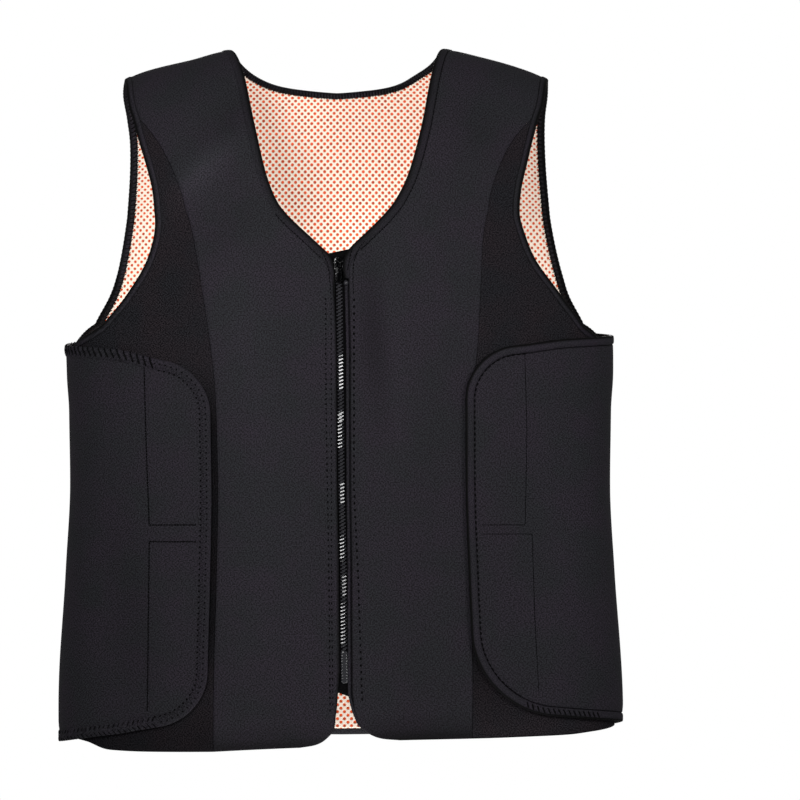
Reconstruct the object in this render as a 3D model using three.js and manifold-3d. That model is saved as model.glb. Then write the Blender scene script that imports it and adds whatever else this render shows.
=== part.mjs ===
// Sleeveless zip-front vest in its worn shape, open at the neck, armholes and hem.
// Millimetres, +Z up, front towards -Y, wearer's left towards +X, origin between the shoulder tops.
import * as THREE from 'three';
import Module from 'manifold-3d';
import { mergeVertices } from 'three/addons/utils/BufferGeometryUtils.js';

const wasm = await Module();
wasm.setup();

// Torso form: superellipse sections that arch over to the shoulder ridge above chest level
const SQUARENESS = 2.5;
const CHEST_LEVEL = -150;
const ARCH_LENGTH = 180;
const RIDGE_HEIGHT = CHEST_LEVEL + ARCH_LENGTH * 0.9994;
const BODY = [
  { z: -660, halfWidth: 249, front: 88, back: 84 },
  { z: -600, halfWidth: 248.5, front: 89, back: 84 },
  { z: -480, halfWidth: 241.5, front: 93, back: 80 },
  { z: -400, halfWidth: 238, front: 96, back: 81 },
  { z: -340, halfWidth: 239, front: 98, back: 85 },
  { z: -271, halfWidth: 240, front: 99, back: 90 },
  { z: CHEST_LEVEL, halfWidth: 231, front: 93, back: 94 },
  { z: 40, halfWidth: 225, front: 84, back: 92 },
];
const RIDGE = [
  { x: 0, z: 0 },
  { x: 99, z: -3 },
  { x: 133, z: -10 },
  { x: 171, z: -21 },
  { x: 190, z: -29 },
  { x: 240, z: -60 },
];
// The upper body hangs a little to the wearer's right
const LEAN = { shift: -3.3, from: -300, to: -180 };

// Layers, as offsets from the panels' inner face
const PANEL = { inner: 0, outer: 3 };
const LINING = { inner: -2, outer: -0.4 };
const TAPE = { inner: -1.4, outer: -0.6 };
const FLAP_THICKNESS = 3;
const FLAP_EASE = [
  { angle: 20, gap: 2.4 },
  { angle: 60, gap: 2.2 },
  { angle: 90, gap: 2 },
  { angle: 105, gap: 1.4 },
  { angle: 118, gap: 0.9 },
];
const SEAM_GAP = 0.3;
const TAPE_GAP = 0.5;

// Seam lines, as half widths at a height
const NECK_FRONT = [
  { z: -205, x: -1 },
  { z: -180.5, x: 26.7 },
  { z: -158, x: 51 },
  { z: -146, x: 58.7 },
  { z: -123, x: 69 },
  { z: -79, x: 81 },
  { z: -34, x: 90 },
];
const NECK_BACK = [
  { x: 0, z: -42.5 },
  { x: 43, z: -38.6 },
  { x: 59, z: -35.7 },
  { x: 75, z: -28.3 },
  { x: 89, z: -18 },
];
const ARMHOLE_FRONT = [
  { z: -53, x: 181.8 },
  { z: -84, x: 172.4 },
  { z: -108, x: 165 },
  { z: -130, x: 160.3 },
  { z: -153, x: 158 },
  { z: -173, x: 160.7 },
  { z: -199, x: 170.3 },
  { z: -221, x: 184.4 },
  { z: -243, x: 201.4 },
  { z: -262, x: 219.7 },
];
const ARMHOLE_BACK = [
  { z: -40, x: 188.5 },
  { z: -60, x: 186.5 },
  { z: -82, x: 185.5 },
  { z: -115, x: 186.6 },
  { z: -160, x: 190.8 },
  { z: -206, x: 200 },
  { z: -229, x: 207.7 },
];
const SHOULDER = { neck: 104, tip: 188 };
const UNDERARM_HEIGHT = -275;
const BACK_SEAM_ANGLE = 115;
const BACK_SEAM_TOP = -255;
const BACK_SEAM_GAP_ANGLE = 0.2;
// Front seam between the smooth panel and the loop-faced side panel
const PRINCESS_TOP = -66;
// Least height between the end of a seam and the next table row it runs through
const LEAST_STEP = 4;
const PRINCESS = [
  { z: -640, right: 110.5, left: 120 },
  { z: -340, right: 110.7, left: 120 },
  { z: -296, right: 113, left: 122.5 },
  { z: -217, right: 121, left: 130 },
  { z: -151, right: 134, left: 137 },
  { z: -107, right: 149, left: 149 },
  { z: -86, right: 161, left: 160 },
  { z: PRINCESS_TOP, right: 177.5, left: 177.5 },
];
const HEM = [
  { angle: 0, right: -634, left: -627 },
  { angle: 21, right: -637, left: -626.5 },
  { angle: 40, right: -638, left: -625 },
  { angle: 53, right: -637, left: -624 },
  { angle: 64, right: -630, left: -622 },
  { angle: 90, right: -625, left: -619 },
  { angle: BACK_SEAM_ANGLE, right: -629, left: -627 },
  { angle: 180, right: -632.7, left: -632.7 },
];
const LINING_ABOVE_HEM = 6;

// Zip line, the distance from it to each front edge, and the rounded lower front corners
const ZIP_LINE = [
  { z: -590, x: 5.5 },
  { z: -366, x: 0.6 },
  { z: -231, x: 0.4 },
  { z: -185, x: -0.6 },
];
const FRONT_EDGE = [
  { z: -590, right: 6.2, left: 6.2 },
  { z: -231, right: 4.7, left: 8.7 },
];
const CORNER_TO_EDGE = 20;
const FRONT_CORNER = {
  right: [
    { x: -35, z: -634.3 },
    { x: -21.5, z: -632 },
    { x: -7.5, z: -622.6 },
    { x: -2.6, z: -604.5 },
    { x: -0.8, z: -585 },
  ],
  left: [
    { x: 55, z: -627.6 },
    { x: 38, z: -626 },
    { x: 20.3, z: -616.8 },
    { x: 14.5, z: -604.5 },
    { x: 11.6, z: -585 },
  ],
};

// Flaps: finished edges, with a corner radius at the top and bottom of the front edge
const FLAP_SEAM_ANGLE = 118;
const FLAP = {
  right: {
    frontAngle: 23.9,
    topRadius: 40,
    bottomRadius: 42,
    edges: [
      { angle: 20, top: -296, bottom: -606 },
      { angle: 38, top: -285, bottom: -616 },
      { angle: 52, top: -276, bottom: -623 },
      { angle: 90, top: -271, bottom: -632 },
      { angle: 118, top: -265, bottom: -628 },
    ],
  },
  left: {
    frontAngle: 23.5,
    topRadius: 44,
    bottomRadius: 70,
    edges: [
      { angle: 20, top: -277, bottom: -598 },
      { angle: 38, top: -271, bottom: -604 },
      { angle: 54, top: -265.5, bottom: -608.5 },
      { angle: 90, top: -261.5, bottom: -616 },
      { angle: 118, top: -258, bottom: -624 },
    ],
  },
};

// Folded tapes, as width past the panel edge and reach inside and outside it
const NECK_TAPE = { width: 7, inside: -2.4, outside: 3.9 };
const ARMHOLE_TAPE = { width: 6, inside: -2.4, outside: 3.9 };
const FLAP_TAPE = { width: 8, inside: 0, outside: 3.9 };
const TAPE_ROUNDING = 1.3;
// The neck tape's two ends are cut upright, which lengthens their section
const TAPE_END_STRETCH = 1.4;

// Zip
const TAPE_SPAN = { top: -204, bottom: -588, inner: 3.3, outer: 13 };
const CHAIN = { top: -204, bottom: -546, pitch: 5.8, tooth: 2.9, root: 2.1, inner: -2.1, outer: 0.9 };
const BOX = { top: -547, bottom: -576, halfWidth: 2.8, inner: -2.6, outer: 1.8 };
const WELT = { top: -216, bottom: -600, width: 2.7, fromEdge: 2.1, inner: 0.2, outer: 2.6 };
const SLIDER = { centre: -199, width: 9, height: 14, corner: 2.4, plate: 1.2, frontPlate: 1.3, backPlate: -3.7 };
const POST = { width: 3, height: 4.4 };
const BRIDGE = { above: 2, clear: 2, bar: 1.2, inside: 2.6, width: 1.6, sunk: 0.4 };
const PULL = { axle: 1.4, axleAbovePlate: 1.3, length: 19, width: 5.4, endWidth: 6.4, neck: 6.8 };
const PULL_SLOT = { width: 2.6, length: 4.8 };

// Facets along each seam; the two long sides of a front panel have equal counts
const FACETS = { corner: 4, frontEdge: 7, neck: 8, armholeUpper: 4, armholeLower: 12, armholeBack: 9, backNeck: 6 };
const PRINCESS_FACETS = FACETS.corner + 1 + FACETS.frontEdge + FACETS.neck - FACETS.armholeUpper;
const PANEL_COLUMNS = 7;
const SHOULDER_FACETS = 4;
const BACK_SEAM_FACETS = 10;
const FLAP_FACETS = { bend: 5, straight: 11, upright: 9 };
const ZIP_FACETS = { tape: 14, box: 2, welt: 16, weltRound: 6 };
const FINE_STEPS = 50;

const SIDES = [
  { name: 'left', sign: 1 },
  { name: 'right', sign: -1 },
];

const radians = THREE.MathUtils.degToRad;
const degrees = THREE.MathUtils.radToDeg;
const power = (value) => Math.sign(value) * Math.abs(value) ** (2 / SQUARENESS);
const rootOf = (value) => Math.sign(value) * Math.abs(value) ** (SQUARENESS / 2);

// Smooth value of a table's column at a place along its key column
function lookup(rows, key, column, at) {
  const last = rows.length - 1;
  if (at <= rows[0][key]) return rows[0][column];
  if (at >= rows[last][key]) return rows[last][column];
  const step = (i) => (rows[i + 1][column] - rows[i][column]) / (rows[i + 1][key] - rows[i][key]);
  const slope = (i) => {
    if (i === 0 || i === last) return step(Math.min(i, last - 1));
    const product = step(i - 1) * step(i);
    return product <= 0 ? 0 : (2 * product) / (step(i - 1) + step(i));
  };
  const i = rows.findIndex((row) => row[key] > at) - 1;
  const span = rows[i + 1][key] - rows[i][key];
  const t = (at - rows[i][key]) / span;
  const rise = t * t * (3 - 2 * t);
  return (
    rows[i][column] * (1 - rise) +
    rows[i + 1][column] * rise +
    span * t * (1 - t) * ((1 - t) * slope(i) - t * slope(i + 1))
  );
}

// Point on the form at an angle from centre front and a height measured along the surface
function bodyPoint(angle, height) {
  const arch = radians((90 * Math.max(0, height - CHEST_LEVEL)) / ARCH_LENGTH);
  let x = 0;
  let z = Math.min(height, CHEST_LEVEL);
  for (let pass = 0; pass < 4; pass += 1) {
    x = lookup(BODY, 'z', 'halfWidth', z) * power(Math.sin(radians(angle)));
    const ridge = lookup(RIDGE, 'x', 'z', Math.abs(x));
    if (arch > 0) z = CHEST_LEVEL + (ridge - CHEST_LEVEL) * power(Math.sin(arch));
  }
  const depth = Math.abs(angle) < 90 ? -lookup(BODY, 'z', 'front', z) : lookup(BODY, 'z', 'back', z);
  const inward = Math.abs(power(Math.cos(radians(angle)))) * power(Math.cos(arch));
  return new THREE.Vector3(x, depth * inward, z);
}

// Outward direction of the form at a point on it
function bodyNormal(point) {
  const level = (x, y, z) => {
    const ridge = lookup(RIDGE, 'x', 'z', Math.abs(x));
    const arch = Math.max(0, (z - CHEST_LEVEL) / (ridge - CHEST_LEVEL)) ** SQUARENESS;
    const across = Math.abs(x / lookup(BODY, 'z', 'halfWidth', z)) ** SQUARENESS;
    const through = Math.abs(y / lookup(BODY, 'z', y < 0 ? 'front' : 'back', z)) ** SQUARENESS;
    return (1 - arch) * (across - 1) + through;
  };
  const { x, y, z } = point;
  const probe = 0.5;
  return new THREE.Vector3(
    level(x + probe, y, z) - level(x - probe, y, z),
    level(x, y + probe, z) - level(x, y - probe, z),
    level(x, y, z + probe) - level(x, y, z - probe),
  ).normalize();
}

function lean(z) {
  return LEAN.shift * THREE.MathUtils.smoothstep(z, LEAN.from, LEAN.to);
}

// Surface point and outward direction of a place {angle, height} on one side of the body
function surface(sign, place, offset) {
  const point = bodyPoint(place.angle, place.height);
  const normal = bodyNormal(point);
  point.addScaledVector(normal, offset);
  point.x = sign * point.x + lean(point.z);
  normal.x *= sign;
  return { point, normal };
}

// Place on the front or back of the form from a half width and a height
function placeAt(x, z, facing) {
  const across = degrees(Math.asin(rootOf(Math.min(1, x / lookup(BODY, 'z', 'halfWidth', z)))));
  const rise = (z - CHEST_LEVEL) / (lookup(RIDGE, 'x', 'z', Math.abs(x)) - CHEST_LEVEL);
  const arch = rise > 0 ? degrees(Math.asin(rootOf(Math.min(1, rise)))) : 0;
  return {
    angle: facing === 'back' ? 180 - across : across,
    height: rise > 0 ? Math.min(RIDGE_HEIGHT, CHEST_LEVEL + (ARCH_LENGTH * arch) / 90) : z,
  };
}

const frontPlace = (x, z) => placeAt(x, z, 'front');
const backPlace = (x, z) => placeAt(x, z, 'back');
const ridgePlace = (x, facing) => placeAt(x, lookup(RIDGE, 'x', 'z', x), facing);

// Smooth curve through places, cut into equal lengths along the surface
function seam(places, count) {
  const curve = new THREE.CatmullRomCurve3(
    places.map((p) => new THREE.Vector3(p.angle, p.height, 0)),
    false,
    'centripetal',
  );
  const fine = curve.getPoints(places.length * 12).map((p) => ({ angle: p.x, height: p.y }));
  return evenly(fine, count);
}

function evenly(path, count) {
  const points = path.map((p) => bodyPoint(p.angle, p.height));
  const along = [0];
  for (let i = 1; i < path.length; i += 1) along.push(along[i - 1] + points[i].distanceTo(points[i - 1]));
  const total = along[along.length - 1];
  return Array.from({ length: count + 1 }, (_, k) => {
    const target = (total * k) / count;
    const i = Math.max(1, along.findIndex((length) => length >= target - 1e-9));
    return between(path[i - 1], path[i], (target - along[i - 1]) / (along[i] - along[i - 1]));
  });
}

function between(a, b, t) {
  return { angle: a.angle + (b.angle - a.angle) * t, height: a.height + (b.height - a.height) * t };
}

// Grid of places filling a patch between its four boundary seams
function patch(bottom, top, start, end) {
  const across = bottom.length - 1;
  const up = start.length - 1;
  const mixed = (key, i, j) => {
    const u = i / across;
    const v = j / up;
    const ruled = bottom[i][key] * (1 - v) + top[i][key] * v + start[j][key] * (1 - u) + end[j][key] * u;
    const low = bottom[0][key] * (1 - u) + bottom[across][key] * u;
    const high = top[0][key] * (1 - u) + top[across][key] * u;
    return ruled - low * (1 - v) - high * v;
  };
  return start.map((_, j) => bottom.map((_, i) => ({ angle: mixed('angle', i, j), height: mixed('height', i, j) })));
}

// Closed geometry from points and triangles, with its faces turned outwards
function closedGeometry(points, triangles) {
  const volume = triangles.reduce((sum, [a, b, c]) => {
    return sum + points[a].dot(new THREE.Vector3().crossVectors(points[b], points[c]));
  }, 0);
  const indices = triangles.flatMap(([a, b, c]) => (volume < 0 ? [a, c, b] : [a, b, c]));
  const geometry = new THREE.BufferGeometry().setFromPoints(points);
  geometry.setIndex(indices);
  return geometry;
}

// Cloth wall over grids of places, each {sign, rows}, between two offsets that may vary with the place
function clothWall(grids, innerAt, outerAt) {
  const outer = [];
  const inner = [];
  const known = new Map();
  const indexOf = (sign, place) => {
    const { point } = surface(sign, place, outerAt(place));
    const key = point.toArray().map((value) => Math.round(value * 1000)).join();
    if (!known.has(key)) {
      known.set(key, outer.length);
      outer.push(point);
      inner.push(surface(sign, place, innerAt(place)).point);
    }
    return known.get(key);
  };
  const cells = grids.flatMap(({ sign, rows }) => {
    const ids = rows.map((row) => row.map((place) => indexOf(sign, place)));
    const quads = [];
    for (let j = 1; j < ids.length; j += 1) {
      for (let i = 1; i < ids[j].length; i += 1) {
        const quad = [ids[j - 1][i - 1], ids[j - 1][i], ids[j][i], ids[j][i - 1]];
        quads.push(sign > 0 ? quad : quad.reverse());
      }
    }
    return quads;
  });
  const edges = new Set(cells.flatMap((quad) => quad.map((a, k) => `${a},${quad[(k + 1) % 4]}`)));
  const under = outer.length;
  const triangles = [];
  for (const [a, b, c, d] of cells) {
    triangles.push([a, b, c], [a, c, d], [c + under, b + under, a + under], [d + under, c + under, a + under]);
    for (const [from, to] of [[a, b], [b, c], [c, d], [d, a]]) {
      if (edges.has(`${to},${from}`)) continue;
      triangles.push([to, from, from + under], [to, from + under, to + under]);
    }
  }
  return closedGeometry([...outer, ...inner], triangles);
}

// Strip with one section carried along frames, each {point, normal, out}
function strip(frames, section, closed = false) {
  const points = frames.flatMap(({ point, normal, out }, k) => {
    return section(k).map(([o, n]) => point.clone().addScaledVector(out, o).addScaledVector(normal, n));
  });
  const sides = section(0).length;
  const triangles = [];
  const turns = closed ? frames.length : frames.length - 1;
  for (let k = 0; k < turns; k += 1) {
    const here = k * sides;
    const next = ((k + 1) % frames.length) * sides;
    for (let i = 0; i < sides; i += 1) {
      const j = (i + 1) % sides;
      triangles.push([here + i, next + i, next + j], [here + i, next + j, here + j]);
    }
  }
  if (!closed) {
    const last = (frames.length - 1) * sides;
    for (let i = 2; i < sides; i += 1) triangles.push([0, i - 1, i], [last, last + i, last + i - 1]);
  }
  return closedGeometry(points, triangles);
}

// Frames along the edge of a wall; out points away from the wall, to the left of the direction of travel
function edgeFrames(stops, baseAt, closed = false) {
  const frames = stops.map(({ sign, place }) => surface(sign, place, baseAt(place)));
  const count = frames.length;
  frames.forEach((frame, k) => {
    const before = frames[closed ? (k + count - 1) % count : Math.max(0, k - 1)];
    const after = frames[closed ? (k + 1) % count : Math.min(count - 1, k + 1)];
    const along = after.point.clone().sub(before.point);
    frame.out = new THREE.Vector3().crossVectors(frame.normal, along).normalize();
  });
  return frames;
}

// Section of a folded tape that meets the wall's edge and rounds over at its free side
function tapeSection({ width, inside, outside }) {
  const r = TAPE_ROUNDING;
  return () => [
    [TAPE_GAP, inside],
    [width - r, inside],
    [width, inside + r],
    [width, outside - r],
    [width - r, outside],
    [TAPE_GAP, outside],
  ];
}

function zipX(z) {
  return lookup(ZIP_LINE, 'z', 'x', z);
}

// Place on the front from a true X, allowing for the lean
function truePlace(x, z) {
  return frontPlace(x - lean(z), z);
}

function hemPlace(angle, name) {
  return { angle, height: lookup(HEM, 'angle', name, angle) };
}

const stations = (from, to, count) => Array.from({ length: count + 1 }, (_, k) => from + ((to - from) * k) / count);

// Boundaries shared by neighbouring panels on one side of the body
function sideSeams({ name, sign }) {
  const local = (x, z) => frontPlace(sign * (x - lean(z)), z);
  const edgeX = (z) => zipX(z) + sign * lookup(FRONT_EDGE, 'z', name, z);
  const halfEdge = (z) => sign * (edgeX(z) - lean(z));
  const neckZ = stations(NECK_FRONT[0].z, NECK_FRONT[1].z, FINE_STEPS)
    .find((z) => lookup(NECK_FRONT, 'z', 'x', z) >= halfEdge(z));
  const cornerTop = FRONT_CORNER[name].at(-1).z;
  const corner = FRONT_CORNER[name].map(({ x, z }) => local(x, z));
  const edge = stations(cornerTop + CORNER_TO_EDGE, neckZ, FACETS.frontEdge).map((z) => local(edgeX(z), z));
  const neckRows = NECK_FRONT.filter(({ z }) => z > neckZ + LEAST_STEP);
  const princess = (shift) => {
    const foot = hemPlace(frontPlace(PRINCESS[0][name], PRINCESS[0].z).angle, name);
    const rows = PRINCESS.slice(1).map((row) => frontPlace(row[name] + shift, row.z));
    return seam([frontPlace(PRINCESS[0][name] + shift, foot.height), ...rows], PRINCESS_FACETS);
  };
  const armholeStart = frontPlace(PRINCESS.at(-1)[name], PRINCESS_TOP);
  const below = ARMHOLE_FRONT.filter(({ z }) => z < PRINCESS_TOP - LEAST_STEP).map(({ x, z }) => frontPlace(x, z));
  const above = ARMHOLE_FRONT.filter(({ z }) => z > PRINCESS_TOP).map(({ x, z }) => frontPlace(x, z));
  const seamTop = { angle: BACK_SEAM_ANGLE, height: BACK_SEAM_TOP };
  return {
    frontEdge: [...seam(corner, FACETS.corner), ...evenly(edge, FACETS.frontEdge)],
    neck: seam(
      [
        frontPlace(halfEdge(neckZ), neckZ),
        ...neckRows.map(({ x, z }) => frontPlace(x, z)),
        ridgePlace(SHOULDER.neck, 'front'),
      ],
      FACETS.neck,
    ),
    princess,
    armholeUpper: seam([armholeStart, ...above.reverse(), ridgePlace(SHOULDER.tip, 'front')], FACETS.armholeUpper),
    armholeLower: seam(
      [armholeStart, ...below, { angle: 90, height: UNDERARM_HEIGHT }, seamTop],
      FACETS.armholeLower,
    ),
    armholeBack: seam(
      [seamTop, ...ARMHOLE_BACK.map(({ x, z }) => backPlace(x, z)).reverse(), ridgePlace(SHOULDER.tip, 'back')],
      FACETS.armholeBack,
    ),
    backSeam: (shift) => {
      const angle = BACK_SEAM_ANGLE + shift;
      return [hemPlace(angle, name), { angle, height: seamTop.height }];
    },
    neckBack: seam(
      [...NECK_BACK.map(({ x, z }) => backPlace(x, z)), ridgePlace(SHOULDER.neck, 'back')],
      FACETS.backNeck,
    ),
    shoulder: stations(SHOULDER.neck, SHOULDER.tip, SHOULDER_FACETS).map((x) => ridgePlace(x, 'back')),
  };
}

const seams = Object.fromEntries(SIDES.map((side) => [side.name, sideSeams(side)]));

const panelWall = (grids) => clothWall(grids, () => PANEL.inner, () => PANEL.outer);

function frontPanel({ name, sign }) {
  const { frontEdge, neck, princess, armholeUpper } = seams[name];
  const inner = [...frontEdge, ...neck.slice(1)];
  const outer = [...princess(-SEAM_GAP / 2), ...armholeUpper.slice(1)];
  const bottom = stations(0, 1, PANEL_COLUMNS).map((t) => between(inner[0], outer[0], t));
  const top = evenly([neck.at(-1), armholeUpper.at(-1)], PANEL_COLUMNS);
  return panelWall([{ sign, rows: patch(bottom, top, inner, outer) }]);
}

function sidePanel({ name, sign }) {
  const { princess, armholeLower, backSeam } = seams[name];
  const start = princess(SEAM_GAP / 2);
  const end = evenly(backSeam(-BACK_SEAM_GAP_ANGLE / 2), PRINCESS_FACETS);
  const bottom = evenly(
    stations(0, 1, FINE_STEPS).map((t) => hemPlace(start[0].angle + (end[0].angle - start[0].angle) * t, name)),
    armholeLower.length - 1,
  );
  const top = [start.at(-1), ...armholeLower.slice(1, -1), end.at(-1)];
  return panelWall([{ sign, rows: patch(bottom, top, start, end) }]);
}

// Half of the back, from centre back to the side seam and from a height above the hem to the neck
function backHalf({ name }, aboveHem) {
  const { backSeam, armholeBack, neckBack, shoulder } = seams[name];
  const top = [...neckBack, ...shoulder.slice(1)];
  const raise = (place) => ({ angle: place.angle, height: place.height + aboveHem });
  const lower = evenly(backSeam(BACK_SEAM_GAP_ANGLE / 2), BACK_SEAM_FACETS);
  lower[0] = raise(lower[0]);
  const end = [...lower, ...armholeBack.slice(1)];
  const bottom = stations(180, lower[0].angle, top.length - 1).map((angle) => raise(hemPlace(angle, name)));
  const start = evenly([bottom[0], top[0]], end.length - 1);
  return patch(bottom, top, start, end);
}

function backGrids(aboveHem) {
  return SIDES.map((side) => ({ sign: side.sign, rows: backHalf(side, aboveHem) }));
}

// Length round the body from centre front, at the waist
const GIRTH_HEIGHT = -450;
const GIRTH = stations(0, 180, 180).reduce((rows, angle) => {
  const point = bodyPoint(angle, GIRTH_HEIGHT);
  const length = rows.length ? rows.at(-1).length + point.distanceTo(rows.at(-1).point) : 0;
  return [...rows, { angle, length, point }];
}, []);
const girthOf = (angle) => lookup(GIRTH, 'angle', 'length', angle);
const angleOf = (length) => lookup(GIRTH, 'length', 'angle', length);

// Seams of a flap, drawn in from its finished edge by the width of its tape
function flapSeams({ name }) {
  const { frontAngle, topRadius, bottomRadius, edges } = FLAP[name];
  const inset = FLAP_TAPE.width;
  const front = girthOf(frontAngle) + inset;
  const back = girthOf(FLAP_SEAM_ANGLE);
  const run = (column, radius, direction) => {
    const level = (length) => lookup(edges, 'angle', column, angleOf(length)) - direction * inset;
    const bend = stations(0, 90, FLAP_FACETS.bend).map((turn) => {
      const length = front + radius * (1 - Math.cos(radians(turn)));
      const height = level(length) - direction * radius * (1 - Math.sin(radians(turn)));
      return { angle: angleOf(length), height };
    });
    const straight = stations(front + radius, back, FLAP_FACETS.straight).map((length) => {
      return { angle: angleOf(length), height: level(length) };
    });
    return [...bend, ...straight.slice(1)];
  };
  const top = run('top', topRadius - inset, 1);
  const bottom = run('bottom', bottomRadius - inset, -1);
  const upright = (k) => evenly([bottom.at(k), top.at(k)], FLAP_FACETS.upright);
  return { top, bottom, front: upright(0), back: upright(-1) };
}

const flapInner = ({ angle }) => PANEL.outer + lookup(FLAP_EASE, 'angle', 'gap', angle);
const flapOuter = (place) => flapInner(place) + FLAP_THICKNESS;

function sideFlap(side) {
  const { top, bottom, front, back } = flapSeams(side);
  return clothWall([{ sign: side.sign, rows: patch(bottom, top, front, back) }], flapInner, flapOuter);
}

function flapBinding(side) {
  const { top, bottom, front } = flapSeams(side);
  const path = [...bottom.slice(1).reverse(), ...front, ...top.slice(1)];
  if (side.sign < 0) path.reverse();
  const frames = edgeFrames(path.map((place) => ({ sign: side.sign, place })), flapInner);
  return strip(frames, tapeSection(FLAP_TAPE));
}

const atPanelFace = () => PANEL.inner;

function neckBinding() {
  const [left, right] = SIDES.map(({ name, sign }) => {
    const { neck, neckBack } = seams[name];
    return [...neck, ...neckBack.slice(0, -1).reverse()].map((place) => ({ sign, place }));
  });
  const frames = edgeFrames([...left, ...right.slice(0, -1).reverse()], atPanelFace);
  for (const { out } of [frames[0], frames.at(-1)]) {
    out.setX(0).setZ(1).multiplyScalar(TAPE_END_STRETCH);
  }
  return strip(frames, tapeSection(NECK_TAPE));
}

function armholeBinding({ name, sign }) {
  const { armholeUpper, armholeLower, armholeBack } = seams[name];
  const path = [...armholeUpper.slice(1).reverse(), ...armholeLower, ...armholeBack.slice(1, -1)];
  if (sign < 0) path.reverse();
  const frames = edgeFrames(path.map((place) => ({ sign, place })), atPanelFace, true);
  return strip(frames, tapeSection(ARMHOLE_TAPE), true);
}

// Frames down the front at a distance from the zip line
function zipFrames(top, bottom, count, shiftAt = () => 0) {
  return stations(top, bottom, count).map((z) => {
    const frame = surface(1, truePlace(zipX(z) + shiftAt(z), z), 0);
    return { ...frame, out: new THREE.Vector3(1, 0, 0) };
  });
}

const bar = (from, to, inner, outer) => [[from, inner], [to, inner], [to, outer], [from, outer]];

function zipTape({ sign }) {
  const { top, bottom, inner, outer } = TAPE_SPAN;
  const section = bar(sign * inner, sign * outer, TAPE.inner, TAPE.outer);
  return strip(zipFrames(top, bottom, ZIP_FACETS.tape), () => section);
}

// Closed teeth as one ribbed bar, wide at each tooth and narrow between
function zipChain() {
  const { top, bottom, pitch, tooth, root, inner, outer } = CHAIN;
  const count = 2 * Math.round((top - bottom) / pitch);
  return strip(zipFrames(top, bottom, count), (k) => {
    const half = k % 2 ? tooth : root;
    return bar(-half, half, inner, outer);
  });
}

function zipBox() {
  const { top, bottom, halfWidth, inner, outer } = BOX;
  return strip(zipFrames(top, bottom, ZIP_FACETS.box), () => bar(-halfWidth, halfWidth, inner, outer));
}

// Piped edge lying between the teeth and the left front's edge
function zipWelt() {
  const { top, bottom, width, fromEdge, inner, outer } = WELT;
  const shift = (z) => lookup(FRONT_EDGE, 'z', 'left', z) - fromEdge;
  const middle = (inner + outer) / 2;
  const sides = ZIP_FACETS.weltRound;
  const profile = stations(0, 360 - 360 / sides, sides - 1).map((turn) => [
    (width / 2) * Math.cos(radians(turn)),
    middle + ((outer - inner) / 2) * Math.sin(radians(turn)),
  ]);
  return strip(zipFrames(top, bottom, ZIP_FACETS.welt, shift), () => profile);
}

function toManifold(geometry) {
  const bare = geometry.clone();
  bare.deleteAttribute('normal');
  bare.deleteAttribute('uv');
  const merged = mergeVertices(bare, 1e-4);
  return new wasm.Manifold(
    new wasm.Mesh({
      numProp: 3,
      vertProperties: new Float32Array(merged.attributes.position.array),
      triVerts: new Uint32Array(merged.index.array),
    }),
  );
}

function joined(geometries) {
  const mesh = geometries.map(toManifold).reduce((sum, next) => sum.add(next)).getMesh();
  const geometry = new THREE.BufferGeometry();
  geometry.setAttribute('position', new THREE.BufferAttribute(new Float32Array(mesh.vertProperties), 3));
  geometry.setIndex(new THREE.BufferAttribute(new Uint32Array(mesh.triVerts), 1));
  return geometry;
}

// Slider plate with rounded corners, standing off the zip by a distance
function sliderPlate(from) {
  const { width, height, corner: radius, plate: thickness } = SLIDER;
  const x = width / 2;
  const y = height / 2;
  const shape = new THREE.Shape();
  shape.moveTo(-x + radius, -y);
  shape.absarc(x - radius, -y + radius, radius, -Math.PI / 2, 0);
  shape.absarc(x - radius, y - radius, radius, 0, Math.PI / 2);
  shape.absarc(-x + radius, y - radius, radius, Math.PI / 2, Math.PI);
  shape.absarc(-x + radius, -y + radius, radius, Math.PI, 1.5 * Math.PI);
  return new THREE.ExtrudeGeometry(shape, { depth: thickness, bevelEnabled: false, curveSegments: 3 })
    .translate(0, 0, from);
}

// Slider: two plates on a post, with the bridge that holds the pull
function zipSlider() {
  const { height, plate: thick, frontPlate, backPlate } = SLIDER;
  const postDepth = frontPlate - backPlate;
  const wedge = new THREE.BoxGeometry(POST.width, POST.height, postDepth)
    .translate(0, (height - POST.height) / 2, backPlate + postDepth / 2);
  const { above, clear, bar: thickness, inside, width: bridgeWidth, sunk } = BRIDGE;
  const face = frontPlate + thick;
  const reach = clear + thickness;
  const arch = new THREE.Shape();
  arch.moveTo(-reach, -sunk);
  arch.lineTo(-reach, inside);
  arch.lineTo(-reach + thickness, inside + thickness);
  arch.lineTo(reach - thickness, inside + thickness);
  arch.lineTo(reach, inside);
  arch.lineTo(reach, -sunk);
  arch.lineTo(clear, -sunk);
  arch.lineTo(clear, inside);
  arch.lineTo(-clear, inside);
  arch.lineTo(-clear, -sunk);
  arch.closePath();
  const bridge = new THREE.ExtrudeGeometry(arch, { depth: bridgeWidth, bevelEnabled: false })
    .translate(0, 0, -bridgeWidth / 2)
    .rotateX(Math.PI / 2)
    .rotateZ(Math.PI / 2)
    .translate(0, above, face);
  return joined([sliderPlate(frontPlate), sliderPlate(backPlate), wedge, bridge]);
}

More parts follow.
